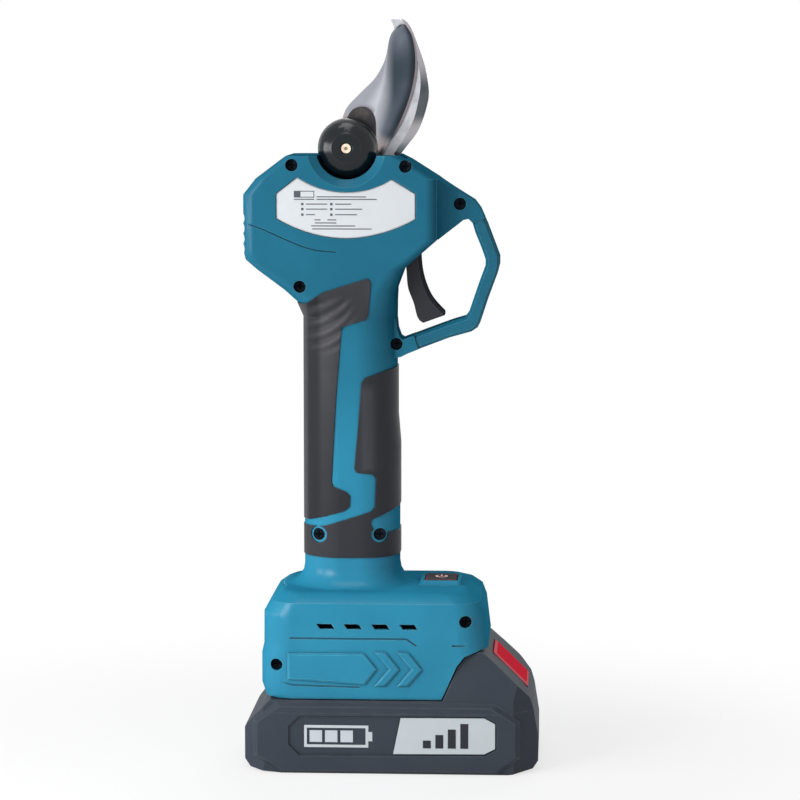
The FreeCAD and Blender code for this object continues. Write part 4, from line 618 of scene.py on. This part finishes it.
class Finish(Enum):
    """Every finish on the tool."""

    HOUSING = MouldedPlastic("housing_teal", TEAL, TEAL_WORN_LIT_EDGE, gloss=0.0, coat=0.2, lit_low_colour=TEAL_LIT_LOW)
    GUARD = MouldedPlastic("guard_teal", (0.013, 0.140, 0.220), TEAL_WORN_LIT_EDGE, roughness=0.4, gloss=0.0, coat=0.4)
    RUBBER = GripRubber("grip_rubber", palm=1.0)
    FINGER_RUBBER = GripRubber("finger_rubber", (0.026, 0.028, 0.034), ripple_top=136 * MM, ripple_foot=122 * MM)
    BLADE = HollowGround("blade_steel")
    HOOK = Metal("hook_steel", (0.47, 0.48, 0.51), (0.36, 0.36, 0.39), roughness=0.36, marks=(7.0, 7.0, 0.8))
    HOOK_BEVEL = GroundBevel("hook_bevel")
    CAP = MouldedPlastic("cap_black", (0.003, 0.006, 0.008), (0.03, 0.033, 0.038), roughness=0.15, gloss=0.34)
    SECTOR = Metal("sector_steel", (0.045, 0.043, 0.045), (0.085, 0.075, 0.070), roughness=0.36)
    BRASS = Metal("cap_screw_brass", (0.80, 0.66, 0.52), (0.50, 0.36, 0.28), roughness=0.42)
    BRONZE = Metal("bush_bronze", (0.46, 0.29, 0.16), (0.30, 0.19, 0.11))
    BLACK_SCREW = Metal("black_screw", (0.012, 0.016, 0.022), (0.006, 0.008, 0.010), roughness=0.5)
    BOLT = Metal("bolt_steel", (0.52, 0.52, 0.54), (0.36, 0.35, 0.34))
    ALUMINIUM = Metal("cast_aluminium", (0.68, 0.68, 0.70), (0.52, 0.52, 0.54), roughness=0.42, marks=(1.0, 1.0, 1.0))
    GEAR = Metal("gear_steel", (0.40, 0.40, 0.42), (0.27, 0.26, 0.26))
    CAN = Metal("motor_can", (0.34, 0.35, 0.37), (0.26, 0.26, 0.27), roughness=0.4)
    LAMINATION = Metal("laminations", (0.22, 0.22, 0.24), (0.15, 0.14, 0.14), marks=(1.0, 1.0, 40.0))
    COPPER = Metal("copper_wire", (0.72, 0.33, 0.16), (0.46, 0.2, 0.1), marks=(14.0, 14.0, 1.0))
    MAGNET = Metal("plated_magnet", (0.16, 0.16, 0.17), (0.1, 0.1, 0.11))
    NICKEL = Metal("nickel_strip", (0.66, 0.65, 0.62), (0.5, 0.48, 0.44))
    BOARD = SatinFilm("board_green", (0.02, 0.13, 0.06), (0.25, 0.33, 0.16), roughness=0.35)
    COMPONENT = MouldedPlastic("component_black", (0.03, 0.03, 0.034), (0.11, 0.11, 0.12), roughness=0.5)
    INNER_BLACK = MouldedPlastic("inner_black", (0.024, 0.024, 0.028), (0.1, 0.1, 0.1))
    WIRE = MouldedPlastic("lead_silicone", (0.07, 0.07, 0.08), (0.16, 0.16, 0.17), roughness=0.5)
    TRIGGER = MouldedPlastic("trigger_black", (0.034, 0.036, 0.043), (0.12, 0.12, 0.135), gloss=0.0, coat=0.35)
    KEY = MouldedPlastic("power_key", (0.085, 0.080, 0.088), (0.50, 0.085, 0.075), rounding=0.7 * MM, gloss=0.0)
    PACK = MouldedPlastic("pack_plastic", PACK_GREY, (0.09, 0.10, 0.12), rounding=0.9 * MM, gloss=0.02, coat=0.35)
    PLATE = SatinFilm("plate_silver", (0.56, 0.61, 0.64), (0.42, 0.46, 0.5))
    # The label's rim is painted dark teal as the shade in its recess.
    LABEL = SatinFilm("label_white", (0.63, 0.66, 0.69), (0.012, 0.055, 0.085), rim=0.85 * MM)
    LATCH = MouldedPlastic("latch_red", (0.97, 0.040, 0.070), (0.98, 0.36, 0.38), roughness=0.5, gloss=0.0)
    SLEEVE = SatinFilm("cell_sleeve", (0.06, 0.24, 0.3), (0.2, 0.35, 0.4), roughness=0.25)
    INK = SatinFilm("plain_ink", (0.09, 0.10, 0.12), (0.2, 0.21, 0.23), roughness=0.5)
    DARK_INK = SatinFilm("dark_ink", (0.030, 0.034, 0.042), (0.06, 0.065, 0.075), roughness=0.5)
    PALE_INK = SatinFilm("pale_ink", (0.58, 0.62, 0.66), (0.5, 0.54, 0.58), roughness=0.45)
    KEY_MARK = SatinFilm("key_mark", (0.95, 0.50, 0.46), (0.9, 0.5, 0.5), roughness=0.4)
    # A lighter latch red, painted on the key's rim as its highlight.
    LATCH_RIM_HIGHLIGHT = MouldedPlastic("latch_rim", (0.98, 0.19, 0.22), (0.98, 0.40, 0.42), roughness=0.5, gloss=0.0)

    def material(self) -> bpy.types.Material:
        """The finish's material, made once.

        Returns:
            The material.
        """
        name = self.value.name + "_finish"
        material = bpy.data.materials.get(name)
        if material is None:
            material = bpy.data.materials.new(name)
            self.value.make(Shader(material))
        return material


# ---- Meshes ----
class Mould:
    """Makes pieces of the tool on the fixed frame."""

    @staticmethod
    def dress(node: str, finish: Finish, smooth: float = SMOOTH_LEAN,
              alter: Callable[[Shape], None] | None = None) -> Piece:
        """Stand a smoothly shaded copy of a frame piece in its place.

        Args:
            node: Name of the frame piece.
            finish: Its finish.
            smooth: Largest lean between faces that shade as one, in degrees.
            alter: Further shaping of the copy.

        Returns:
            The new piece.
        """
        source = FRAME["nodes"][node]
        shape = bmesh.new()
        shape.from_mesh(source.data)
        bmesh.ops.remove_doubles(shape, verts=shape.verts, dist=WELD)
        Mould.join_flats(shape)
        if alter:
            alter(shape)
        piece = Mould.place(shape, "dressed_" + node, finish, source["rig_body"], smooth)
        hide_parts(node)
        return piece

    @staticmethod
    def join_flats(shape: Shape) -> None:
        """Join faces that lie in one plane.

        Args:
            shape: The mesh.
        """
        bmesh.ops.dissolve_limit(shape, angle_limit=FLAT_LEAN, verts=shape.verts, edges=shape.edges,
                                 delimit={"NORMAL"})

    @staticmethod
    def stand(shape: Shape, name: str) -> Piece:
        """Stand a mesh in the scene and free it.

        Args:
            shape: The mesh, already in its place.
            name: Name of the piece.

        Returns:
            The piece.
        """
        mesh = bpy.data.meshes.new(name)
        shape.to_mesh(mesh)
        shape.free()
        piece = bpy.data.objects.new(name, mesh)
        bpy.context.scene.collection.objects.link(piece)
        return piece

    @staticmethod
    def place(shape: Shape, name: str, finish: Finish, body: str, smooth: float = SMOOTH_LEAN) -> Piece:
        """Put a mesh on a body of the frame.

        Args:
            shape: The mesh, already in its place.
            name: Name of the piece.
            finish: Its finish.
            body: Body that carries it.
            smooth: Largest lean between faces that shade as one, in degrees.

        Returns:
            The piece.
        """
        piece = Mould.stand(shape, name)
        mesh = piece.data
        mesh.materials.clear()
        mesh.materials.append(finish.material())
        mesh.polygons.foreach_set("use_smooth", [True] * len(mesh.polygons))
        Mould.shade(mesh, smooth)
        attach(piece, body)
        return piece

    @staticmethod
    def shade(mesh: bpy.types.Mesh, smooth: float) -> None:
        """Give every corner the mean normal of the faces at its point that lean little from its own face.

        Args:
            mesh: The mesh.
            smooth: Largest lean between faces that shade as one, in degrees.
        """
        limit = math.cos(math.radians(smooth))
        faces = [(face.normal.copy(), face.area) for face in mesh.polygons]
        around: list[list[int]] = [[] for _ in mesh.vertices]
        for face in mesh.polygons:
            for vert in face.vertices:
                around[vert].append(face.index)
        normals = []
        for face in mesh.polygons:
            own = faces[face.index][0]
            for vert in face.vertices:
                near = [normal * area for normal, area in (faces[other] for other in around[vert])
                        if own.dot(normal) > limit]
                total = sum(near, Vector((0.0, 0.0, 0.0)))
                normals.append(total.normalized() if total.length > 0 else own)
        mesh.normals_split_custom_set(normals)

    @staticmethod
    def points(grown: dict[str, list]) -> list[bmesh.types.BMVert]:
        """Points among the geometry that an operation made.

        Args:
            grown: Result of the operation.

        Returns:
            The points.
        """
        return [item for item in grown["geom"] if isinstance(item, bmesh.types.BMVert)]

    @staticmethod
    def finish(shape: Shape, name: str, finish: Finish, body: str, slot: str) -> Piece:
        """Close a mesh and put it on its body.

        Args:
            shape: The mesh.
            name: Name of the piece.
            finish: Its finish.
            body: Body that carries it.
            slot: Its slot in the record; not used.

        Returns:
            The piece.
        """
        bmesh.ops.recalc_face_normals(shape, faces=shape.faces)
        return Mould.place(shape, name, finish, body)


@dataclass(frozen=True)
class Print:
    """Thin bars printed on a face square to Y, all in millimetres."""

    face: float
    thick: float
    bars: Sequence[Bar]

    def shape(self) -> Shape:
        """Raise the bars from their face.

        Returns:
            Their mesh.
        """
        shape = bmesh.new()
        for left, right, low, high in self.bars:
            corners = ((left, low), (right, low), (right, high), (left, high))
            face = shape.faces.new([shape.verts.new((x * MM, self.face * MM, z * MM)) for x, z in corners])
            raised = Mould.points(bmesh.ops.extrude_face_region(shape, geom=[face]))
            bmesh.ops.translate(shape, verts=raised, vec=(0, self.thick * MM, 0))
        return shape


class SubAssembly:
    """A group of frame pieces that are dressed together."""

    finishes: ClassVar[dict[str, Finish]]

    def build(self) -> list[Piece]:
        """Dress every piece of the group.

        Returns:
            The pieces.
        """
        return [Mould.dress(node, finish) for node, finish in self.finishes.items()]


@dataclass
class Housing(SubAssembly):
    """Two moulded halves with their screws and the guard."""

    foot_face: float = 34.0
    foot_top: float = 60.0
    relief_least: float = 0.3
    squareness: float = 0.999
    slope_width: float = 0.9
    slope_rise: float = 0.45
    finishes = {
        "trigger_guard": Finish.GUARD, "housing_screws": Finish.BLACK_SCREW, "head_frame": Finish.ALUMINIUM}

    def build(self) -> list[Piece]:
        """Dress the housing and slope the rims of the relief on its foot.

        Returns:
            The pieces.
        """
        shells = [Mould.dress(node, Finish.HOUSING, alter=self.emboss) for node in ("front_shell", "rear_shell")]
        return super().build() + shells

    def emboss(self, shape: Shape) -> None:
        """Give the raised bar and chevrons of the foot sloped rims.

        Args:
            shape: Mesh of a shell.
        """
        raised = [face for face in shape.faces if self.is_raised(face)]
        bmesh.ops.inset_individual(shape, faces=raised, thickness=self.slope_width * MM, depth=self.slope_rise * MM)

    def is_raised(self, face: bmesh.types.BMFace) -> bool:
        """Whether a face is the top of the bar or of a chevron.

        Args:
            face: Face of a shell.

        Returns:
            True where it is.
        """
        middle = face.calc_center_median()
        outward = abs(face.normal.y) > self.squareness and face.normal.y * middle.y > 0
        proud = abs(middle.y) > (self.foot_face + self.relief_least) * MM
        return outward and proud and middle.z < self.foot_top * MM


class Grips(SubAssembly):
    """Rubber pads for the palm and the fingers."""

    finishes = {
        "front_palm_grip": Finish.RUBBER, "rear_palm_grip": Finish.RUBBER,
        "front_finger_grip": Finish.FINGER_RUBBER, "rear_finger_grip": Finish.FINGER_RUBBER}


@dataclass
class CuttingHead(SubAssembly):
    """Hook, moving blade and what turns on the pivot."""

    pivot: float = 250.0
    back: float = -0.095
    front: float = -4.055
    edge_land: float = 0.6
    hollow_power: float = 1.7
    hub_radius: float = 11.4
    bore_radius: float = 6.05
    hub_sides: int = 72
    grid: tuple[int, int] = (30, 72)
    spine_ends: float = 0.78
    tip_width: Pair = (-0.04, 0.02)
    bevel_lean: Pair = (0.2, 0.985)
    bevel_foot: float = -6.0
    spine: tuple[Pair, ...] = (
        (-3.0, 10.2), (-0.9, 15.9), (4.9, 22.1), (10.6, 27.9), (14.2, 34.3), (15.6, 39.5))
    ridge: tuple[Pair, ...] = (
        (9.6, -2.0), (10.0, 4.5), (9.9, 10.5), (11.0, 15.6), (12.9, 20.8), (14.4, 26.4), (15.1, 31.5), (15.5, 36.2),
        (15.9, 41.2), (17.3, 45.8), (20.6, 49.2))
    edge: tuple[Pair, ...] = (
        (13.4, -3.2), (15.6, 1.2), (19.5, 7.0), (22.2, 12.4), (24.6, 18.6), (26.2, 24.4), (27.2, 30.2), (27.4, 35.2),
        (26.9, 40.2), (25.6, 45.0), (22.6, 49.3))
    finishes = {
        "blade_screws": Finish.BOLT, "pivot_bolt": Finish.BOLT, "pivot_nut": Finish.BOLT,
        "pivot_cap": Finish.CAP, "cap_screw": Finish.BRASS, "drive_gear": Finish.SECTOR,
        "drive_pin": Finish.BRONZE, "blade_bush": Finish.BRONZE}

    def build(self) -> list[Piece]:
        """Dress the head and grind its moving blade.

        Returns:
            The pieces.
        """
        return super().build() + [self.moving_blade(), self.hook()]

    def hook(self) -> Piece:
        """Hook with its ground-off outer edge in a finish painted darker as the reflection of its polish.

        Returns:
            The hook.
        """
        hook = Mould.dress("fixed_blade", Finish.HOOK, smooth=12.0)
        hook.data.materials.append(Finish.HOOK_BEVEL.material())
        least, most = self.bevel_lean
        for face in hook.data.polygons:
            leans = least < -face.normal.y < most
            face.material_index = int(leans and face.center.z > (self.pivot + self.bevel_foot) * MM)
        return hook

    @staticmethod
    def along(points: Sequence[Pair], share: float) -> Vector:
        """Point on the smooth line through some points.

        Args:
            points: Points as (x, height over the pivot) in millimetres.
            share: How far along the line, from 0 to 1.

        Returns:
            The point.
        """
        last = len(points) - 1
        place = min(max(share, 0.0), 1.0) * last
        first = min(int(place), last - 1)
        a, b, c, d = (Vector(points[min(max(first + i, 0), last)]) for i in (-1, 0, 1, 2))
        t = place - first
        return 0.5 * (2 * b + (c - a) * t + (2 * a - 5 * b + 4 * c - d) * t * t + (3 * b - a - 3 * c + d) * t ** 3)

    def section(self, across: float, along: float) -> Vector:
        """Point of the blade's front face.

        Args:
            across: From 0 at the spine over the ridge to 1 at the cutting edge.
            along: From 0 at the heel to 1 at the tip.

        Returns:
            The point, in metres.
        """
        ridge_at = HollowGround.ridge_at
        ridge, edge = self.along(self.ridge, along), self.along(self.edge, along)
        if along < self.spine_ends:
            spine = self.along(self.spine, along / self.spine_ends)
        else:
            spine = ridge + Vector(self.tip_width)
        if across <= ridge_at:
            place, depth = spine.lerp(ridge, across / ridge_at), self.front
        else:
            reach = (across - ridge_at) / (1 - ridge_at)
            place = ridge.lerp(edge, reach)
            fall = self.back - self.edge_land - self.front
            depth = self.front + fall * (1 - (1 - reach) ** self.hollow_power)
        return Vector((place.x, depth, self.pivot + place.y)) * MM

    def moving_blade(self) -> Piece:
        """Hollow-ground blade with its hub, smooth from the heel to the rounded tip.

        Returns:
            The blade.
        """
        shape = bmesh.new()
        wide, high = self.grid
        bmesh.ops.create_grid(shape, x_segments=wide, y_segments=high, size=0.5)
        chart = shape.loops.layers.uv.new("grind")
        for face in shape.faces:
            for loop in face.loops:
                loop[chart].uv = (loop.vert.co.x + 0.5, loop.vert.co.y + 0.5)
        for vert in shape.verts:
            vert.co = self.section(vert.co.x + 0.5, vert.co.y + 0.5)
        for vert in Mould.points(bmesh.ops.extrude_face_region(shape, geom=shape.faces[:], use_keep_orig=True)):
            vert.co.y = self.back * MM
        hub = bmesh.ops.create_cone(shape, cap_ends=False, segments=self.hub_sides, radius1=self.hub_radius * MM,
                                    radius2=self.hub_radius * MM, depth=(self.back - self.front) * MM)["verts"]
        rims = list({edge for vert in hub for edge in vert.link_edges if edge.is_boundary})
        bore = bmesh.ops.extrude_edge_only(shape, edges=rims)
        inner = Mould.points(bore)
        shrink = self.bore_radius / self.hub_radius
        bmesh.ops.scale(shape, verts=inner, vec=(shrink, shrink, 1))
        bmesh.ops.bridge_loops(shape, edges=[item for item in bore["geom"] if isinstance(item, bmesh.types.BMEdge)
                                             and item.is_boundary])
        whole = hub + inner
        bmesh.ops.rotate(shape, verts=whole, matrix=Matrix.Rotation(math.pi / 2, 3, "X"))
        bmesh.ops.translate(shape, verts=whole, vec=Vector((0, (self.back + self.front) / 2, self.pivot)) * MM)
        bmesh.ops.remove_doubles(shape, verts=shape.verts, dist=0.001 * MM)
        blade = Mould.finish(shape, "ground_blade", Finish.BLADE, "blade", "blade_steel")
        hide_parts("moving_blade")
        return blade


class Drive(SubAssembly):
    """Motor, gearbox and bevel pinion on the handle's axis."""

    finishes = {
        "bevel_pinion": Finish.GEAR, "pinion_bearing": Finish.BOLT, "planet_carrier": Finish.GEAR,
        "planet_gear_1": Finish.GEAR, "planet_gear_2": Finish.GEAR, "planet_gear_3": Finish.GEAR,
        "ring_gear": Finish.GEAR, "sun_gear": Finish.GEAR, "gearbox_cover": Finish.ALUMINIUM,
        "motor_can": Finish.CAN, "motor_end_cap": Finish.INNER_BLACK, "motor_bearings": Finish.BOLT,
        "motor_stator": Finish.LAMINATION, "motor_coils": Finish.COPPER, "motor_shaft": Finish.BOLT,
        "rotor": Finish.MAGNET}


@dataclass
class Controls(SubAssembly):
    """Trigger, its switch and spring, the power key and the controller."""

    mark_radius: float = 2.2
    mark_width: float = 0.6
    mark_flatness: float = 0.4
    ring_starts: float = 125.0
    ring_sweep: float = 290.0
    ring_steps: int = 20
    bar_length: float = 1.1
    bar_offset: float = 0.85
    finishes = {
        "trigger": Finish.TRIGGER, "trigger_pin": Finish.BOLT, "trigger_spring": Finish.BOLT,
        "trigger_switch": Finish.COMPONENT, "controller_board": Finish.BOARD, "board_parts": Finish.COMPONENT,
        "power_switch": Finish.COMPONENT, "power_button": Finish.KEY, "terminal_block": Finish.INNER_BLACK,
        "terminal_blades": Finish.NICKEL, "motor_leads": Finish.WIRE}

    def build(self) -> list[Piece]:
        """Dress the controls and mark the power key.

        Returns:
            The pieces.
        """
        return super().build() + [self.key_mark()]

    def key_mark(self) -> Piece:
        """Broken ring and bar, the usual sign for power, on top of the key.

        Returns:
            The mark.
        """
        low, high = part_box("power_button")
        middle = Vector(((low.x + high.x) / 2, (low.y + high.y) / 2, high.z))
        shape = bmesh.new()
        profile = bmesh.ops.create_circle(shape, segments=4, radius=self.mark_width * 0.7 * MM)["verts"]
        edges = {edge for vert in profile for edge in vert.link_edges}
        upright = Matrix.Rotation(math.pi / 2, 4, "X") @ Matrix.Rotation(math.pi / 4, 4, "Z")
        out = Matrix.Translation((self.mark_radius * MM, 0, 0))
        start = Matrix.Rotation(math.radians(self.ring_starts), 4, "Z")
        bmesh.ops.transform(shape, matrix=start @ out @ upright, verts=profile)
        bmesh.ops.contextual_create(shape, geom=profile + list(edges))
        bmesh.ops.spin(shape, geom=shape.verts[:] + shape.edges[:] + shape.faces[:], axis=(0, 0, 1), cent=(0, 0, 0),
                       angle=math.radians(self.ring_sweep), steps=self.ring_steps, use_merge=False)
        bar = bmesh.ops.create_cube(shape, size=1.0)["verts"]
        length, offset = (share * self.mark_radius * MM for share in (self.bar_length, self.bar_offset))
        bmesh.ops.scale(shape, verts=bar, vec=(self.mark_width * MM, length, self.mark_width * MM))
        bmesh.ops.translate(shape, verts=bar, vec=(0, offset, 0))
        bmesh.ops.scale(shape, verts=shape.verts, vec=(1, 1, self.mark_flatness))
        bmesh.ops.translate(shape, verts=shape.verts, vec=middle)
        return Mould.finish(shape, "power_sign", Finish.KEY_MARK, "power_key", "button_grey")


@dataclass
class RatingLabel(SubAssembly):
    """White label in its recess, with plain rules where print would be."""

    rule_height: float = 0.42
    frame_line: float = 0.336
    ink: float = 0.02
    rows: tuple[Triple, ...] = (
        (-11.8, 8.0, 230.6), (-11.8, 12.3, 229.6), (-16.1, -7.5, 227.7), (-4.4, 2.1, 227.7), (-16.1, -7.5, 225.7),
        (-4.4, 6.4, 225.7), (-16.1, -12.5, 223.5), (-4.4, 4.4, 223.5), (-12.7, -10.2, 221.4), (-7.5, -3.9, 221.4),
        (-12.5, -3.9, 220.2), (-14.0, 3.6, 219.0), (-13.6, 10.2, 217.8), (-20.9, -12.7, 229.6))
    dot: float = 1.0
    dots: tuple[Pair, ...] = (
        (-18.0, 227.4), (-18.0, 225.4), (-18.0, 223.2), (-6.4, 227.4), (-6.4, 225.4), (-6.4, 223.2))
    crest: Bar = (-20.9, -12.7, 230.5, 233.2)
    finishes = {"rating_label": Finish.LABEL}

    def build(self) -> list[Piece]:
        """Dress the label and print its rules.

        Returns:
            The pieces.
        """
        return super().build() + [self.rules()]

    def rules(self) -> Piece:
        """Thin printed bars and an empty frame.

        Returns:
            The print.
        """
        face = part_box("rating_label")[0].y / MM
        left, right, low, high = self.crest
        line = self.frame_line
        bars = [(x0, x1, z, z + self.rule_height) for x0, x1, z in self.rows]
        bars += [(x, x + self.dot, z, z + self.dot) for x, z in self.dots]
        block = left + high - low
        bars += [(left, block, low, high), (block, right, low, low + line), (block, right, high - line, high),
                 (right - line, right, low + line, high - line)]
        shape = Print(face, FRONT * self.ink, bars).shape()
        return Mould.finish(shape, "label_rules", Finish.INK, "tool", "label_white")


@dataclass
class BatteryPack(SubAssembly):
    """Pack cases with the light plate, the latch key and the cells inside."""

    finishes = {
        "pack_upper_case": Finish.PACK, "pack_lower_case": Finish.PACK, "pack_screws": Finish.BLACK_SCREW,
        "name_plates": Finish.PLATE, "cells": Finish.SLEEVE, "cell_holders": Finish.INNER_BLACK,
        "nickel_strips": Finish.NICKEL, "bms_board": Finish.BOARD, "pack_contacts": Finish.NICKEL,
        "latch_springs": Finish.BOLT}
    slope: float = 44.5
    latch_at: Pair = (66.3, 39.0)
    rib_rise: float = 0.6
    latch_weld: float = 0.01
    latch_rim: float = 1.7
    latch_swell: float = 0.45
    rim_lean: Pair = (0.9, 0.99)
    plate_thick: float = 0.55
    sign_thick: float = 0.06
    cell_sign: Bar = (-16.2, 9.6, 10.9, 19.9)
    cell_line: float = 1.1
    cell_nose: Pair = (1.6, 2.6)
    charge_bars: tuple[float, ...] = (2.2, 8.4, 14.6)
    charge_bar: Pair = (5.0, 2.1)
    level_bars: int = 4
    level_from: Pair = (31.5, 11.0)
    level_pitch: float = 5.0
    level_bar: Pair = (3.2, 3.2)
    level_growth: float = 2.3

    def build(self) -> list[Piece]:
        """Dress the pack, lay its release key flat and print its charge signs.

        Returns:
            The pieces.
        """
        signs = [sign(side) for sign in (self.charge_sign, self.level_sign) for side in (FRONT, BACK)]
        return super().build() + [self.release_key()] + signs

    def release_key(self) -> Piece:
        """Release key with the rim round its swollen face painted paler as highlight.

        Returns:
            The key.
        """
        key = Mould.dress("latch_button", Finish.LATCH, alter=self.smooth_key)
        key.data.materials.append(Finish.LATCH_RIM_HIGHLIGHT.material())
        least, most = self.rim_lean
        for face in key.data.polygons:
            face.material_index = int(least < face.normal.dot(self.out()) < most)
        return key

    def out(self) -> Vector:
        """Direction that the release key faces.

        Returns:
            The direction.
        """
        lean = math.radians(self.slope)
        return Vector((math.sin(lean), 0, math.cos(lean)))

    def smooth_key(self, shape: Shape) -> None:
        """Press the ribs of the release key into its plate and swell the plate inside a sloped rim.

        Args:
            shape: The key's mesh.
        """
        out = self.out()
        middle = Vector((self.latch_at[0], 0, self.latch_at[1])) * MM
        for vert in shape.verts:
            rise = (vert.co - middle).dot(out)
            if rise > 0.5 * self.rib_rise * MM:
                vert.co -= out * rise
        bmesh.ops.remove_doubles(shape, verts=shape.verts, dist=self.latch_weld * MM)
        bmesh.ops.dissolve_degenerate(shape, edges=shape.edges, dist=self.latch_weld * MM)
        Mould.join_flats(shape)
        square = self.rim_lean[1]
        top = max((face for face in shape.faces if face.normal.dot(out) > square), key=lambda face: face.calc_area())
        bmesh.ops.inset_individual(shape, faces=[top], thickness=self.latch_rim * MM, depth=self.latch_swell * MM)

    def sign(self, name: str, side: int, sunk: float, bars: list[Bar], finish: Finish, slot: str) -> Piece:
        """Print a sign on one side of the pack.

        Args:
            name: Name of the sign.
            side: FRONT or BACK.
            sunk: How far its face lies behind that of the plates, in millimetres.
            bars: Its bars.
            finish: Its finish.
            slot: Its slot in the record.

        Returns:
            The sign.
        """
        low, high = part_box("name_plates")
        face = (low.y if side == FRONT else high.y) / MM - side * sunk
        shape = Print(face, side * self.sign_thick, bars).shape()
        return Mould.finish(shape, f"{name}_{SIDE_NAMES[side]}", finish, "pack", slot)

    def charge_sign(self, side: int) -> Piece:
        """Cell symbol with three bars in the dark half of the badge, where lettering would be.

        Args:
            side: FRONT or BACK.

        Returns:
            The symbol.
        """
        left, right, low, high = self.cell_sign
        line, (nose, nose_inset), (width, inset) = self.cell_line, self.cell_nose, self.charge_bar
        bars = [(left, right, low, low + line), (left, right, high - line, high),
                (left, left + line, low + line, high - line), (right - line, right, low + line, high - line),
                (right, right + nose, low + nose_inset, high - nose_inset)]
        bars += [(left + x, left + x + width, low + inset, high - inset) for x in self.charge_bars]
        if side == BACK:
            bars = [(left + right - x1, left + right - x0, z0, z1) for x0, x1, z0, z1 in bars]
        return self.sign("charge_sign", side, self.plate_thick, bars, Finish.PALE_INK, "plate_grey")

    def level_sign(self, side: int) -> Piece:
        """Rising level bars on the light plate, where a rating would be.

        Args:
            side: FRONT or BACK.

        Returns:
            The bars.
        """
        (first, foot), (width, height) = self.level_from, self.level_bar
        bars = []
        for step in range(self.level_bars):
            place = step if side == FRONT else self.level_bars - 1 - step
            x = first + self.level_pitch * place
            bars.append((x, x + width, foot, foot + height + self.level_growth * step))
        return self.sign("level_sign", side, 0.0, bars, Finish.DARK_INK, "pack_plastic")


# ---- Studio ----
@dataclass(frozen=True)
class Lamp:
    """Square soft lamp: its place and side in millimetres and its power in watts."""

    name: str
    place: Triple
    side: float
    power: float


@dataclass
class Studio:
    """Pale floor, soft lamps and the camera."""

    aim: Triple = (20.4, 0.0, 147.2)
    distance: float = 1250.0
    azimuth: float = 3.0
    elevation: float = 6.25
    lens: float = 137.9
    sensor: float = 36.0
    sight: float = 20.0
    floor_half: float = 3.0
    floor_grey: float = 0.9
    floor_fade: Pair = (100 * MM, 300 * MM)
    floor_shade: float = 0.3
    ambient: float = 0.26
    lamps: tuple[Lamp, ...] = (
        Lamp("key", (-320, -400, 260), 240, 1.95), Lamp("side", (-760, -260, 260), 300, 1.9),
        Lamp("fill", (520, -1000, 160), 600, 0.45), Lamp("top", (-60, -160, 1000), 420, 2.0),
        Lamp("back", (250, 900, 600), 700, 4.0))

    def build(self) -> None:
        """Set up the floor, world, lamps, camera and view."""
        self.floor()
        self.world()
        for lamp in self.lamps:
            self.light(lamp)
        self.camera()
        bpy.context.scene.view_settings.view_transform = "Standard"

    @staticmethod
    def pale(shader: Shader) -> Socket:
        """Mask of the rays that see the plain white surroundings.

        Args:
            shader: Material or world that asks.

        Returns:
            The mask.
        """
        path = [shader.add("ShaderNodeLightPath", output=name)
                for name in ("Is Camera Ray", "Is Glossy Ray", "Is Transmission Ray")]
        return (path[0] + path[1] + path[2]).math("MINIMUM", 1.0)

    def floor(self) -> None:
        """Pale floor that keeps the tool's shadow and fades into the white behind."""
        shape = bmesh.new()
        bmesh.ops.create_grid(shape, x_segments=2, y_segments=2, size=self.floor_half)
        ground = Mould.stand(shape, "floor")
        material = bpy.data.materials.new("floor_pale_finish")
        shader = Shader(material)
        away = shader.add("ShaderNodeVectorMath", {"operation": "LENGTH"}, {0: shader.place}, output="Value")
        lit = shader.add("ShaderNodeBsdfDiffuse", values={"Color": (*[self.floor_grey] * 3, 1.0)})
        white = shader.add("ShaderNodeEmission", values={"Strength": 1.0})
        share = self.pale(shader) * (away.step(*self.floor_fade) * self.floor_shade + (1.0 - self.floor_shade))
        both = shader.add("ShaderNodeMixShader", values={0: share, 1: lit, 2: white})
        shader.add("ShaderNodeOutputMaterial", values={"Surface": both})
        ground.data.materials.append(material)

    def world(self) -> None:
        """White surroundings to the eye and in gloss, and a soft even light on the rest."""
        world = bpy.data.worlds.new("studio")
        shader = Shader(world)
        seen = self.pale(shader)
        strength = seen * (1.0 - self.ambient) + self.ambient
        light = shader.add("ShaderNodeBackground", values={"Color": (1.0, 1.0, 1.0, 1.0), "Strength": strength})
        shader.add("ShaderNodeOutputWorld", values={"Surface": light})
        bpy.context.scene.world = world

    def light(self, lamp: Lamp) -> None:
        """Add a lamp that points at the tool.

        Args:
            lamp: The lamp.
        """
        data = bpy.data.lights.new(lamp.name, "AREA")
        data.energy = lamp.power
        data.size = lamp.side * MM
        stand = bpy.data.objects.new(lamp.name, data)
        stand.location = Vector(lamp.place) * MM
        stand.rotation_euler = (Vector(self.aim) * MM - stand.location).to_track_quat("-Z", "Y").to_euler()
        bpy.context.scene.collection.objects.link(stand)

    def camera(self) -> None:
        """Stand the camera a little to the trigger side and above."""
        around, up = math.radians(self.azimuth), math.radians(self.elevation)
        away = Vector((math.sin(around) * math.cos(up), -math.cos(around) * math.cos(up), math.sin(up)))
        data = bpy.data.cameras.new("camera")
        data.lens = self.lens
        data.sensor_width = self.sensor
        data.clip_end = self.sight
        camera = bpy.data.objects.new("camera", data)
        camera.location = (Vector(self.aim) + away * self.distance) * MM
        camera.rotation_euler = (-away).to_track_quat("-Z", "Y").to_euler()
        bpy.context.scene.collection.objects.link(camera)
        bpy.context.scene.camera = camera


def main() -> None:
    """Dress every sub-assembly, light it and note its size."""
    logging.basicConfig(level=logging.INFO, format="%(name)s: %(message)s")
    for group in (Housing(), Grips(), CuttingHead(), Drive(), Controls(), RatingLabel(), BatteryPack()):
        for piece in group.build():
            LOG.info("%s, %d faces", piece.name, len(piece.data.polygons))
    Studio().build()


if __name__ == "__main__":
    main()
